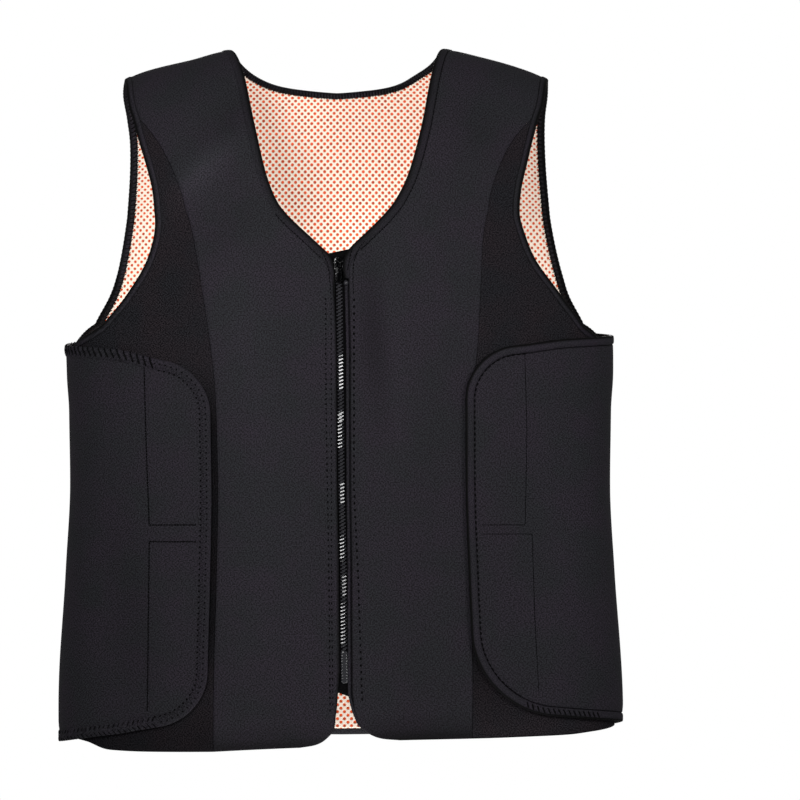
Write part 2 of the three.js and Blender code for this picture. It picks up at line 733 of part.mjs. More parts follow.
// Pull tab: an axle under the bridge, two arms beside it and a plain rounded tab
function zipPull() {
  const { axle, length, width, endWidth, neck } = PULL;
  const shape = new THREE.Shape();
  shape.moveTo(-width / 2, axle / 2);
  shape.lineTo(-width / 2, -neck);
  shape.lineTo(-endWidth / 2, -length + endWidth / 2);
  shape.absarc(0, -length + endWidth / 2, endWidth / 2, Math.PI, 2 * Math.PI);
  shape.lineTo(width / 2, -neck);
  shape.lineTo(width / 2, axle / 2);
  shape.closePath();
  const hole = new THREE.Path();
  hole.moveTo(-PULL_SLOT.width / 2, -axle / 2);
  hole.lineTo(-PULL_SLOT.width / 2, -PULL_SLOT.length);
  hole.lineTo(PULL_SLOT.width / 2, -PULL_SLOT.length);
  hole.lineTo(PULL_SLOT.width / 2, -axle / 2);
  hole.closePath();
  shape.holes.push(hole);
  return new THREE.ExtrudeGeometry(shape, { depth: axle, bevelEnabled: false, curveSegments: 6 })
    .translate(0, 0, -axle / 2);
}

const KNIT = { color: '#2a282d', roughness: 0.9, metalness: 0 };
const LOOP = { color: '#201e22', roughness: 1, metalness: 0 };
const ELASTIC = { color: '#232226', roughness: 0.85, metalness: 0 };
const DOTTED_MESH = { color: '#f3d9c8', roughness: 0.9, metalness: 0 };
const ZIP_CLOTH = { color: '#1b1a1d', roughness: 0.9, metalness: 0 };
const NYLON = { color: '#2b2b2e', roughness: 0.3, metalness: 0 };
const METAL = { color: '#303033', roughness: 0.35, metalness: 0.8 };

function piece(name, geometry, look) {
  const mesh = new THREE.Mesh(geometry, new THREE.MeshStandardMaterial(look));
  mesh.name = name;
  return mesh;
}

// Slider and pull share a frame: X across, Y up the zip, Z out of the front
function zipHead() {
  const seat = surface(1, truePlace(zipX(SLIDER.centre), SLIDER.centre), 0);
  const head = new THREE.Group();
  head.position.copy(seat.point);
  head.rotation.x = Math.PI / 2 - Math.atan2(seat.normal.z, -seat.normal.y);
  const pull = piece('zip_pull', zipPull(), METAL);
  pull.position.set(0, BRIDGE.above, SLIDER.frontPlate + SLIDER.plate + PULL.axleAbovePlate);
  head.add(piece('zip_slider', zipSlider(), METAL), pull);
  return head;
}

const vest = new THREE.Group();
for (const side of SIDES) {
  const { name } = side;
  vest.add(
    piece(`front_panel_${name}`, frontPanel(side), KNIT),
    piece(`side_panel_${name}`, sidePanel(side), LOOP),
    piece(`side_flap_${name}`, sideFlap(side), KNIT),
    piece(`flap_binding_${name}`, flapBinding(side), ELASTIC),
    piece(`armhole_binding_${name}`, armholeBinding(side), ELASTIC),
    piece(`zip_tape_${name}`, zipTape(side), ZIP_CLOTH),
  );
}
vest.add(
  piece('back_panel', panelWall(backGrids(0)), KNIT),
  piece('back_lining', clothWall(backGrids(LINING_ABOVE_HEM), () => LINING.inner, () => LINING.outer), DOTTED_MESH),
  piece('neck_binding', neckBinding(), ELASTIC),
  piece('zip_chain', zipChain(), NYLON),
  piece('zip_box', zipBox(), NYLON),
  piece('zip_welt', zipWelt(), ELASTIC),
  zipHead(),
);

export default vest;
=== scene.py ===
"""Heated vest dressed for a studio view: padded knit panels, loop sides, taped edges, dotted lining and zip."""
import math

import bpy
import numpy as np
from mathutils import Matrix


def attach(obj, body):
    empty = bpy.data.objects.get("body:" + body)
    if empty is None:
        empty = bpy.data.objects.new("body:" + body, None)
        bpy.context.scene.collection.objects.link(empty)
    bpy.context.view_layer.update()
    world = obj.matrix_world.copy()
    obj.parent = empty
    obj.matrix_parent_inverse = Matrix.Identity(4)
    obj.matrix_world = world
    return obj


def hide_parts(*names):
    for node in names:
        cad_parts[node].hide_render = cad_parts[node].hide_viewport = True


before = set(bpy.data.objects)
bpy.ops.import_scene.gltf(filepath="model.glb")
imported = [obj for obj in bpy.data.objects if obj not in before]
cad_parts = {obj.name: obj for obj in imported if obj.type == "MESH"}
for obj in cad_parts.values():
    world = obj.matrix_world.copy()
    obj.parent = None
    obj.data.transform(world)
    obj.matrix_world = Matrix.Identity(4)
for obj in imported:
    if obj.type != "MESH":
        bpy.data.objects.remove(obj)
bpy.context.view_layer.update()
MM = 0.001
SIDES = {"left": 1, "right": -1}

# Worn form in millimetres: superellipse sections that arch over to the shoulder ridge
SQUARENESS = 2.5
CHEST_LEVEL = -150.0
ARCH_LENGTH = 180.0
RIDGE_HEIGHT = CHEST_LEVEL + ARCH_LENGTH * 0.99999
BODY = {
    "z": [-660, -600, -480, -400, -340, -271, CHEST_LEVEL, 40],
    "half_width": [249, 248.5, 241.5, 238, 239, 240, 231, 225],
    "front": [88, 89, 93, 96, 98, 99, 93, 84],
    "back": [84, 84, 80, 81, 85, 90, 94, 92],
}
RIDGE = {"x": [0, 99, 133, 171, 190, 240], "z": [0, -3, -10, -21, -29, -60]}
LEAN = {"shift": -3.3, "from": -300, "to": -180}

# Layers as offsets from the panels' inner face
PANEL = (0.0, 3.0)
LINING = (-2.0, -0.4)
ZIP_TAPE = (-1.4, -0.6)
FLAP_THICKNESS = 3.0
FLAP_EASE = {"angle": [20, 60, 90, 105, 118], "gap": [2.4, 2.2, 2.0, 1.4, 0.9]}
# Widths over which a free rim and a sewn rim round over, and how much painted shade darkens a rim
RIM = 1.4
SEAM_RIM = 0.4
RIM_SHADE = -8
# How far a flap stands off round the side, by height, and how its foot curls back in
FLAP_FLARE = {
    "z": [-640, -600, -541, -467, -394, -330, -298, -262],
    "right": [0.8, 1.4, 2.0, 1.9, 1.2, 1.0, 2.4, 2.6],
    "left": [2.8, 2.9, 2.7, 1.9, 1.2, 1.0, 2.4, 2.6],
}
FLAP_CURL = {"depth": 3.0, "height": 18}

# Width and height that each cloth's grid is ruled for, the steps of the rulings, and the flat cloth it is cut from
RULED = {"front": (120, 640), "side": (190, 420), "flap": (300, 330), "back": (245, 600)}
STEP = {"panel": 3.2, "back": 4.0, "lining": 4.5}

# Seam lines as half widths at a height
NECK_FRONT = {
    "z": [-205, -180.5, -158, -146, -123, -79, -34],
    "right": [-1, 25.5, 49.0, 58.0, 67.6, 78.4, 88],
    "left": [-1, 26.7, 49.4, 59.0, 70.8, 83.5, 92],
}
NECK_BACK = {
    "x": [0, 43, 59, 75, 89],
    "right": [-40.4, -36.3, -32.9, -26.2, -16],
    "left": [-40.4, -36.2, -32, -23.5, -14.5],
}
ARMHOLE_FRONT = {
    "z": [-53, -84, -108, -130, -153, -173, -199, -221, -243, -262],
    "right": [181.8, 172.4, 165, 159.4, 156.8, 157.7, 165.7, 178.9, 196.4, 216.7],
    "left": [181.8, 172.6, 166.8, 161.8, 160.3, 165.3, 176.3, 191.7, 207.4, 222.7],
}
ARMHOLE_BACK = {
    "z": [-40, -60, -82, -115, -160, -206, -229],
    "right": [191, 188.3, 186, 186.4, 190, 198.6, 207.2],
    "left": [188.5, 186.5, 186.4, 188.2, 192.8, 202.6, 209.2],
}
# The right shoulder sits a little lower
SHOULDER_DIP = {"x": -137, "reach": 34, "depth": 2.5, "from": -120, "to": -25}
SHOULDER = {"neck": 104, "tip": 188}
UNDERARM_HEIGHT = -275
BACK_SEAM = {"angle": 115, "top": -255}
V_TURN = {"down": 16, "up": 14}
PRINCESS_TOP = -66
LEAST_STEP = 4
PRINCESS = {
    "z": [-640, -340, -296, -217, -151, -107, -86, PRINCESS_TOP],
    "right": [113.2, 109.8, 112.4, 121, 134, 149, 161, 177.5],
    "left": [120, 120, 122.5, 130, 137, 149, 160, 177.5],
}
HEM = {
    "angle": [0, 21, 40, 53, 64, 90, BACK_SEAM["angle"], 180],
    "right": [-634, -638.2, -638.8, -637.8, -631, -626, -629.4, -632.7],
    "left": [-627, -626.5, -625, -624, -622, -619, -627, -632.7],
}
LINING_ABOVE_HEM = 6
# Painted shade tables: height above the hem, and how much darker the fronts, and the loop cloth under the flaps, are
# painted there
HEM_SHADE = ([0, 1.5, 5, 10, 24], [-7, -5, -4.2, -2, 0])
UNDER_FLAP_SHADE = {"right": ([0, 1.5, 20, 50], [-6, -3.8, -3.2, 0]), "left": ([0, 1.5, 5], [-4, -1, 0])}

# Zip line, front edges beside it and the rounded lower front corners
ZIP_LINE = {"z": [-590, -541, -466, -400, -307, -240, -185], "x": [5.6, 4.7, 4.0, 2.4, 1.5, 0.6, -0.6]}
FRONT_EDGE = {"z": [-590, -231, -214], "right": [4.3, 3.3, 4.7], "left": [6.2, 8.7, 8.7]}
CORNER_TO_EDGE = 20
FRONT_CORNER = {
    "right": {"x": [-35, -21.5, -7.5, -2.6, -0.8], "z": [-634.3, -632, -622.6, -604.5, -585]},
    "left": {"x": [55, 38, 20.3, 14.5, 11.6], "z": [-627.6, -626, -616.8, -604.5, -585]},
}

# Flaps: finished edges by angle, with a corner radius at each end of the front edge
FLAP_SEAM_ANGLE = 118
FLAP_ROUND_SIDE = ([55, 82, 98, FLAP_SEAM_ANGLE], [0, 1, 1, 0])
FLAP = {
    "right": {
        "front": 23.9, "top_radius": 40, "bottom_radius": 42, "forward": {"top": 0.8, "bottom": 1.9},
        "edges": {
            "angle": [20, 38, 52, 90, 118],
            "top": [-296, -285, -276, -271, -265],
            "bottom": [-606, -616, -623, -632, -628],
        },
    },
    "left": {
        "front": 23.5, "top_radius": 44, "bottom_radius": 70, "forward": {"top": 2.2, "bottom": -0.6},
        "edges": {
            "angle": [20, 38, 54, 90, 118],
            "top": [-277, -271, -265.5, -261.5, -258],
            "bottom": [-598, -604, -608.5, -616, -624],
        },
    },
}
# Tapes: depth over which the front of one becomes its back, lap over the cloth, and ribs as a share of thickness
BEHIND = 30
TAPE_LAP = 1.6
RIB_DEPTH = {"smooth": 0.02, "puckered": 0.3}
# Painted shade tables: distance from the tape's finished edge, and how much darker (painted shade) or paler (painted
# highlight) the tape is painted there
NECK_TAPE = {
    "width": 7, "narrows": 2.6, "inside": -2.4, "outside": 3.9, "ribs": (2.4, 0.0),
    # Width by distance from each end, where the tape runs out beside the zip, and its rise off the right panel
    "left_end": ([0, 7, 16], [3.6, 5.6, 7]),
    "right_end": ([0, 12, 34], [0.4, 1.2, 7]),
    "rise": {"from": 60, "over": 120, "flush": 3.0},
    "front": ([0, 2.0, 2.6, 3.6, 5, 7], [-8.4, -8.4, -4.4, -2.8, -1.6, -1.0]),
    "back": ([0, 1, 3, 3.8, 4.4], [-6, -3, -3, -7.5, -8.4]),
    # Painted ribs of light and shade across the back of the tape, standing in for its whipping ridges: strength and
    # pitch
    "painted_ribs": {"shade": 6, "pitch": 2.9},
}
ARMHOLE_TAPE = {
    "width": 6, "inside": -2.4, "outside": 3.9, "ribs": (4.1, 1.6),
    "front": ([0, 2.2, 3.0, 3.8, 4.8, 5.6, 6.4, 6.9], [-8.4, -8.4, -5, -1.6, 1.4, 1.4, -3, -6]),
    "back": ([0, 1, 2, 4, 5, 6], [-7, -5, 0, 0, -5, -7]),
    # Painted shade under the arm by height, from this depth behind, and painted shade by side at the front and behind
    "foot": ([-262, -225, -200], [-7, -5, 0]),
    "foot_depth": 12,
    "dim": {"right": (0, 0), "left": (-1.5, -4.2)},
}
FLAP_TAPE = {"inset": 8, "width": {"right": 9, "left": 8}, "inside": 0.0, "outside": 3.9}
# Half width where a flap's edge turns into its top and foot, and the height between those
FLAP_TURN = 166
FLAP_MIDDLE = -450
# A flat lapped band on the right flap, puckered at its top and foot, and a fuller roll on the left
FLAP_BAND = {"ribs": (6.4, -2.6), "outside": 3.3, "swell": 0.9,
             "pucker_x": ([-176, -166], [1, 0]), "pucker_from_middle": ([130, 150], [0, 1])}
FLAP_ROLL = {"ribs": (5.0, -3.0), "pucker_x": ([150, 165], [0, 1]), "pucker_z": ([-560, -540], [1, 0])}
# Painted shade across each flap tape by distance from its finished edge: none on the band; on the roll a painted shadow
# line at its edge, then a painted highlight
FLAP_BAND_SHADE = ([0, 1], [0, 0])
FLAP_ROLL_SHADE = ([0, 1.8, 2.4, 3.6, 5], [-8.4, -8.4, 1.8, 1.8, 0])

# Zip
TAPE_SPAN = {"top": -187, "bottom": -587, "inner": -0.6, "outer": 13, "top_slant": 0.21, "bottom_slant": -0.36}
CHAIN = {"top": -206, "bottom": -546, "pitch": 1.6, "stagger": 0.75, "inner": -2.0, "outer": 0.9}
# A crown's half length across the chain and half width, its slant in degrees and how square it is
CROWN = {"half": (2.35, 0.62), "slant": 20, "round_off": 0.25}
# How far the crowns of each column turn to the light down the chain, which makes them flash in runs
RIPPLE = {
    "z": [-546, -541, -505, -502, -496, -480, -476, -468, -465, -445, -440, -429, -417, -413, -396, -392, -367,
          -363, -347, -343, -339, -332, -328, -314, -311, -284, -277, -206],
    "left": [0, 0.95, 0.95, 0.4, 0.6, 0.6, 0, 0, 0.95, 0.95, 0.5, 0.5, 0, 0, 0, 0, 0,
             0.9, 0.9, 0.85, 0.85, 0.85, 0, 0, 0, 0, 0.35, 0.3],
    "right": [0, 0.2, 0.2, 0.4, 0.9, 0.9, 0, 0, 0.1, 0.1, 0.5, 0.5, 0.4, 0.9, 0.9, 0.2, 0,
              0, 0, 0.3, 0.85, 0.85, 0, 0, 1, 1, 0.35, 0.3],
}
# Twist and nod of a crown in degrees where it is dull, and where it flashes lower and higher on the chain
DULL_TURN = (6, -10)
FLASH_TURN = {"z": [-600, -200], "twist": [-7.4, -8], "nod": [12.7, 6.2]}
BOX = {"top": -547, "bottom": -576, "half": 3.3, "inner": -2.6, "outer": 1.8, "step": 0.4,
       "pinch": 0.28, "pinch_over": 2.2, "ridge": 0.4, "ridge_pitch": 2.6, "ridge_slant": 0.5}
WELT = {"top": -213, "width": 2.7, "from_edge": 2.1, "inner": 0.2, "outer": 2.6, "corner_share": 0.56,
        "sinks": ([-612, -588], [-3.0, 0]), "flange": -3.0, "flange_inner": -0.6}
KNOB = {"half": (2.3, 2.5, 2.3), "lift": 1.6}
SLIDER = {"centre": -199, "width": 9, "height": 14, "plate": 1.2, "front": 1.3, "back": -3.7,
          "corner": 2.4, "waist": 0.16, "front_bevel": 0.5, "back_bevel": 0.4}
POST = {"width": 3, "height": 4.4, "corner": 0.8, "sunk": 0.2, "bevel": 0.1}
BRIDGE = {"above": 2, "clear": 2, "bar": 1.2, "inside": 2.6, "width": 1.6, "sunk": 0.3}
PULL = {"axle": 1.4, "above_plate": 1.3, "length": 19, "width": 5.4, "end": 6.4, "neck": 6.8, "bevel": 0.45}
PULL_SLOT = {"width": 2.6, "length": 4.8, "corner": 0.5, "bevel": 0.35, "set_in": 0.05, "axle_sunk": 0.3}

# Soft dents and swells of the worn cloth: middle, reach along and across, turn from upright, height; the height also
# paints swells paler (painted highlight) and dents darker (painted shade)
FRONT_FOLDS = [
    {"x": 32, "z": -262, "along": 70, "across": 12, "turn": 4, "rise": -3.0},
    {"x": 50, "z": -290, "along": 90, "across": 14, "turn": 4, "rise": 0.8},
    {"x": -125, "z": -114, "along": 40, "across": 15, "turn": -42, "rise": 4.8},
    {"x": -100, "z": -70, "along": 34, "across": 18, "turn": -42, "rise": -2.4},
    {"x": -100, "z": -166, "along": 32, "across": 16, "turn": -46, "rise": -1.2},
    {"x": -92, "z": -250, "along": 80, "across": 28, "turn": 6, "rise": 1.0},
    {"x": 128, "z": -75, "along": 40, "across": 22, "turn": 50, "rise": -1.2},
    {"x": -70, "z": -430, "along": 150, "across": 34, "turn": 0, "rise": 0.8},
    {"x": 78, "z": -420, "along": 150, "across": 30, "turn": -3, "rise": -0.5},
    {"x": -60, "z": -640, "along": 70, "across": 60, "turn": 0, "rise": -1.7},
    {"x": 72, "z": -636, "along": 70, "across": 56, "turn": 0, "rise": -2.0},
    {"x": 100, "z": -110, "along": 70, "across": 40, "turn": 0, "rise": -0.6},
    {"x": -190, "z": -520, "along": 90, "across": 22, "turn": 6, "rise": -1.4},
    {"x": 205, "z": -470, "along": 160, "across": 30, "turn": -4, "rise": 0.9},
]
BACK_FOLDS = [
    {"x": -70, "z": -330, "along": 130, "across": 26, "turn": 8, "rise": -1.4},
    {"x": 76, "z": -350, "along": 130, "across": 26, "turn": -8, "rise": -1.4},
    {"x": 0, "z": -520, "along": 90, "across": 30, "turn": 0, "rise": 1.2},
    {"x": -120, "z": -180, "along": 70, "across": 24, "turn": 30, "rise": 1.2},
    {"x": 118, "z": -190, "along": 70, "across": 24, "turn": -30, "rise": 1.2},
]

# Stitch lines across the flaps as true X and Z
PATCH_LINES = {
    "right": [
        [(-173, -285), (-171.2, -357), (-168.6, -433.4)],
        [(-168.6, -433.4), (-126, -433.1)],
        [(-168.6, -448.5), (-126, -448.2)],
        [(-168.6, -448.5), (-170, -528.4), (-171, -603)],
    ],
    "left": [
        [(164.9, -277), (166.8, -347.9), (165.4, -433.3)],
        [(127, -433.1), (165.4, -433.3)],
        [(128, -441.3), (171.4, -441.6)],
        [(171.4, -441.6), (174.1, -519.4), (177.8, -584)],
    ],
}
# Stitch lines of the fronts as true X and Z: two on the right, and on the left one that runs up into the neck
FRONT_STITCHES = {
    "outside": [(-11.8, -228), (-11.4, -330), (-8.8, -486), (-8.0, -604)],
    "turn": [(-15.6, -187), (-11.6, -194.4), (-9.3, -201.7), (-8.7, -209), (-7.6, -219), (-6.9, -227)],
    "beside": [(-6.9, -228), (-6.7, -330), (-6.6, -486), (-5.4, -600)],
    "left": [(13.6, -228), (13.6, -400), (17.6, -486), (19.4, -546), (21, -592)],
    "on_tape": [(23.4, -178), (18.6, -183.4), (15.4, -190.7), (13.2, -198)],
    "below_tape": [(13.2, -198), (12.7, -207), (12.7, -216), (13.4, -227)],
    "tape_end": [(12.3, -183.4), (10.5, -190.7), (9.1, -198), (7.6, -206)],
}
# Height below which the right neckline is stitched, and half width up to which the left flap's foot is
NECK_LINE_BELOW = -154
ROLL_SEWN_TO = 236
# Stitches: pitch, length or reach from low to high across the line, slant, radius of the thread and lift
LONG_STITCH = {
    "outside_upper": {"pitch": 4.5, "length": 2.2, "radius": 0.65},
    "outside_lower": {"pitch": 5.7, "length": 2.6, "radius": 0.65},
    "beside_upper": {"pitch": 4.5, "length": 2.0, "radius": 0.55},
    "beside_lower": {"pitch": 5.7, "length": 2.4, "radius": 0.55},
    "left": {"pitch": 6.1, "length": 2.7, "radius": 0.85},
    "armhole": {"pitch": 4.6, "length": 2.6, "radius": 0.4},
    "flap": {"pitch": 5.0, "length": 3.4, "radius": 0.75, "out": -0.4, "lift": FLAP_THICKNESS + 0.1},
    "flap_seam": {"pitch": 5.0, "length": 3.4, "radius": 0.6},
}
FINE_STITCH = {
    "right_neck": {"pitch": 3.4, "length": 2.8, "radius": 0.42},
    "left_neck": {"pitch": 3.1, "length": 2.9, "radius": 0.42},
    "tape_end": {"pitch": 3.1, "length": 3.0, "radius": 0.45, "lift": 0.9},
    "patch": {"pitch": 2.6, "length": 2.7, "radius": 0.6},
    "patch_upright": {"pitch": 2.6, "length": 2.7, "radius": 0.36},
}
CROSS_STITCH = {
    "band_swing": {"pitch": 5.0, "low": -0.6, "high": 4.9, "radius": 0.35, "lift": 2.9},
    "band_inner": {"pitch": 5.0, "low": -1.3, "high": 0.1, "slant": 1.2, "radius": 0.85, "lift": 3.0},
    "band_outer": {"pitch": 5.0, "low": 4.3, "high": 5.5, "slant": -1.2, "radius": 0.75, "lift": 3.2},
    "band_top": {"pitch": 6.4, "low": 0.0, "high": 9.4, "slant": -6.0, "radius": 0.9,
                 "lift": FLAP_TAPE["outside"] - 0.2},
    "band_foot_inner": {"pitch": 4.8, "low": -0.8, "high": 3.4, "slant": 2.6, "radius": 0.6,
                        "lift": FLAP_TAPE["outside"] - 0.4},
    "band_foot_outer": {"pitch": 4.8, "low": 4.6, "high": 9.2, "slant": -3.4, "radius": 0.5,
                        "lift": FLAP_TAPE["outside"] - 0.3},
    "roll_foot": {"pitch": 5.0, "low": 0.8, "high": 6.6, "slant": -3.6, "radius": 0.75,
                  "lift": FLAP_TAPE["outside"] - 0.4},
    "armhole": {"pitch": 4.1, "low": -1.0, "high": 5.2, "slant": 1.6, "radius": 0.5, "lift": 0.1},
    "neck": {"pitch": 2.8, "low": 0.0, "high": 4.0, "slant": 0.6, "radius": 0.5, "lift": -0.2},
}
# Share of a stitch's length, thickness and lift at each ring of its thread
STITCH_RINGS = ((0, 0.4, -0.9), (0.14, 0.9, 0.0), (0.5, 1.0, 0.35), (0.86, 0.9, 0.0), (1, 0.4, -0.9))
STITCH_SIDES = 6

# Stage in metres and watts: floor, white surround, lights with their aim, size, power and spread, and the camera
FLOOR = {"radius": 0.7, "height": -1.3, "sides": 96, "fade": (0.2, 0.69)}
SURROUND = {"light": 0.27, "seen": 1.0}
LIGHTS = {
    "key_softbox": {"at": (-0.45, -1.65, 0.15), "aim": (-0.02, 0, -0.2), "size": 0.4, "watts": 1.62, "spread": 60},
    "fill_softbox": {"at": (1.2, -1.7, 0.1), "aim": (0, 0, -0.3), "size": 0.5, "watts": 4.5, "spread": 120},
    "back_softbox": {"at": (0.0, 2.4, 0.2), "aim": (0, 0, -0.3), "size": 0.8, "watts": 15, "spread": 120},
    "hem_bounce": {"at": (0.0, -0.03, -0.78), "aim": (0, 0.06, -0.2), "size": 0.3, "watts": 1.0, "spread": 180},
    "lining_panel": {"at": (0.0, -0.03, -0.37), "aim": (0, 0.1, -0.33), "size": 0.24, "watts": 1.05, "spread": 180},
}
CAMERA = {"lens": 250, "sensor": 36, "far": 100, "at": (0.0550, -5.094, -0.3209)}


def lookup(table, key, column, at):
    """Smooth value of a table's column at places along its key column."""
    x, y = (np.asarray(table[name], float) for name in (key, column))
    at = np.clip(np.asarray(at, float), x[0], x[-1])
    step = np.diff(y) / np.diff(x)
    product = step[:-1] * step[1:]
    mean = np.where(product > 0, step[:-1] + step[1:], 1)
    slope = np.concatenate([step[:1], np.where(product > 0, 2 * product / mean, 0), step[-1:]])
    i = np.clip(np.searchsorted(x, at, side="right") - 1, 0, len(x) - 2)
    span = x[i + 1] - x[i]
    t = (at - x[i]) / span
    rise = t * t * (3 - 2 * t)
    bend = span * t * (1 - t) * ((1 - t) * slope[i] - t * slope[i + 1])
    return y[i] * (1 - rise) + y[i + 1] * rise + bend


def power(value):
    return np.sign(value) * np.abs(value) ** (2 / SQUARENESS)


def root_of(value):
    return np.sign(value) * np.abs(value) ** (SQUARENESS / 2)


def unit(vectors):
    return vectors / np.linalg.norm(vectors, axis=-1, keepdims=True)


def body_point(place):
    """Points of the form at places (angle from centre front, height along the surface)."""
    angle, height = place[..., 0], place[..., 1]
    arch = np.radians(90 * np.maximum(0, height - CHEST_LEVEL) / ARCH_LENGTH)
    z = np.minimum(height, CHEST_LEVEL)
    for _ in range(4):  # each round settles the height on the ridge over the new half width
        x = lookup(BODY, "z", "half_width", z) * power(np.sin(np.radians(angle)))
        ridge = lookup(RIDGE, "x", "z", np.abs(x))
        z = np.where(arch > 0, CHEST_LEVEL + (ridge - CHEST_LEVEL) * power(np.sin(arch)), z)
    front, back = lookup(BODY, "z", "front", z), lookup(BODY, "z", "back", z)
    depth = np.where(np.abs(angle) < 90, -front, back)
    return np.stack([x, depth * np.abs(power(np.cos(np.radians(angle)))) * power(np.cos(arch)), z], -1)


def body_normal(point, probe=0.5):
    def level(x, y, z):
        ridge = lookup(RIDGE, "x", "z", np.abs(x))
        arch = np.maximum(0, (z - CHEST_LEVEL) / (ridge - CHEST_LEVEL)) ** SQUARENESS
        across = np.abs(x / lookup(BODY, "z", "half_width", z)) ** SQUARENESS
        depth = np.where(y < 0, lookup(BODY, "z", "front", z), lookup(BODY, "z", "back", z))
        return (1 - arch) * (across - 1) + np.abs(y / depth) ** SQUARENESS

    steps = np.eye(3) * probe
    return unit(np.stack([level(*np.moveaxis(point + s, -1, 0)) - level(*np.moveaxis(point - s, -1, 0))
                          for s in steps], -1))


def lean(z):
    t = np.clip((z - LEAN["from"]) / (LEAN["to"] - LEAN["from"]), 0, 1)
    return LEAN["shift"] * t * t * (3 - 2 * t)


def relief(x, y, z):
    """Height of the cloth's soft dents and swells over the form, also painted into its colour as highlight and shade.
    """
    total = np.zeros_like(x)
    for folds, there in ((FRONT_FOLDS, y < 0), (BACK_FOLDS, y >= 0)):
        for fold in folds:
            turn = math.radians(fold["turn"])
            dx, dz = x - fold["x"], z - fold["z"]
            along = (dz * math.cos(turn) - dx * math.sin(turn)) / fold["along"]
            across = (dx * math.cos(turn) + dz * math.sin(turn)) / fold["across"]
            total = total + np.where(there, fold["rise"] * np.exp(-(along**2) - across**2), 0)
    return total


def surface(sign, place, offset=0.0):
    """Points and outward directions at places on one side of the body, at an offset from the form."""
    point = body_point(place)
    normal = body_normal(point)
    swell = relief(sign * point[..., 0] + lean(point[..., 2]), point[..., 1], point[..., 2])
    point = point + normal * (np.asarray(offset) + swell)[..., None]
    point[..., 0] = sign * point[..., 0] + lean(point[..., 2])
    dip = SHOULDER_DIP
    high = np.clip((point[..., 2] - dip["from"]) / (dip["to"] - dip["from"]), 0, 1)
    point[..., 2] -= dip["depth"] * high * np.exp(-(((point[..., 0] - dip["x"]) / dip["reach"]) ** 2))
    return point, normal * np.array([sign, 1, 1])


def place_at(x, z, back=False):
    """Places from half widths and heights."""
    x, z = np.asarray(x, float), np.asarray(z, float)
    across = np.degrees(np.arcsin(root_of(np.minimum(1, x / lookup(BODY, "z", "half_width", z)))))
    rise = (z - CHEST_LEVEL) / (lookup(RIDGE, "x", "z", np.abs(x)) - CHEST_LEVEL)
    arch = np.degrees(np.arcsin(root_of(np.clip(rise, 0, 1))))
    height = np.where(rise > 0, np.minimum(RIDGE_HEIGHT, CHEST_LEVEL + ARCH_LENGTH * arch / 90), z)
    return np.stack([180 - across if back else across, height], -1)


def ridge_place(x, back=False):
    return place_at(x, lookup(RIDGE, "x", "z", x), back)


def true_place(sign, x, z):
    """Places on the front from true X and Z, allowing for the lean."""
    x, z = np.broadcast_arrays(np.asarray(x, float), np.asarray(z, float))
    return place_at(sign * (x - lean(z)), z)


def curve(places, fine=16):
    """Smooth line of places through the given ones, as a centripetal spline."""
    p = np.concatenate([[2 * places[0] - places[1]], places, [2 * places[-1] - places[-2]]])
    gap = np.maximum(np.linalg.norm(np.diff(p, axis=0), axis=1), 1e-4) ** 0.5
    line = [places[:1]]
    t = np.linspace(0, 1, fine + 1)[1:, None]
    for i in range(1, len(p) - 2):
        a, b, c = gap[i - 1], gap[i], gap[i + 1]
        leave = ((p[i] - p[i - 1]) / a - (p[i + 1] - p[i - 1]) / (a + b) + (p[i + 1] - p[i]) / b) * b
        reach = ((p[i + 1] - p[i]) / b - (p[i + 2] - p[i]) / (b + c) + (p[i + 2] - p[i + 1]) / c) * b
        line.append(p[i] * (2 * t**3 - 3 * t**2 + 1) + p[i + 1] * (3 * t**2 - 2 * t**3)
                    + leave * (t**3 - 2 * t**2 + t) + reach * (t**3 - t**2))
    return np.concatenate(line)


def lengths(points):
    return np.concatenate([[0], np.cumsum(np.linalg.norm(np.diff(points, axis=0), axis=1))])


def along(line, share):
    """Places at shares of a line's length over the surface."""
    run = lengths(body_point(line))
    at = np.asarray(share) * run[-1]
    return np.stack([np.interp(at, run, line[:, k]) for k in (0, 1)], -1)


def boundary(*runs):
    """One edge from runs (line, weight): a function from shares of the whole weight to places."""
    ends = np.cumsum([0] + [count for _, count in runs])

    def at(share):
        s = np.asarray(share) * ends[-1]
        found = np.zeros(s.shape + (2,))
        for k, (line, count) in enumerate(runs):
            here = (s >= ends[k] - 1e-9) & (s <= ends[k + 1] + 1e-9)
            found[here] = along(line, np.clip((s[here] - ends[k]) / count, 0, 1))
        return found

    return at


def cloth_between(bottom, top, start, end, u, v):
    """Grid of places between four boundaries, each a function of a share."""
    b, t, s, e = bottom(u)[None], top(u)[None], start(v)[:, None], end(v)[:, None]
    u, v = u[None, :, None], v[:, None, None]
    corners = (b[:, :1] * (1 - u) + b[:, -1:] * u) * (1 - v) + (t[:, :1] * (1 - u) + t[:, -1:] * u) * v
    return b * (1 - v) + t * v + s * (1 - u) + e * u - corners


def rulings(length, step, start=RIM, end=RIM):
    """Shares along a length at an even step, closer at its rounded rims, with how near each lies to a rim."""
    rise = np.array([0, 0.08, 0.29, 0.62])
    marks = np.linspace(start, length - end, max(3, round(length / step)))
    marks = np.concatenate([rise * start if start else [], marks, length - rise[::-1] * end if end else []])
    near = np.ones_like(marks)
    if start:
        near = np.minimum(near, marks / start)
    if end:
        near = np.minimum(near, (length - marks) / end)
    return marks / length, near


def hem_place(angle, name):
    return np.stack([angle, lookup(HEM, "angle", name, angle)], -1)


def straight(a, b, count=40):
    t = np.linspace(0, 1, count)[:, None]
    return np.asarray(a) * (1 - t) + np.asarray(b) * t


def zip_x(z):
    return lookup(ZIP_LINE, "z", "x", z)


def front_edge_x(name, z):
    return zip_x(z) + SIDES[name] * lookup(FRONT_EDGE, "z", name, z)


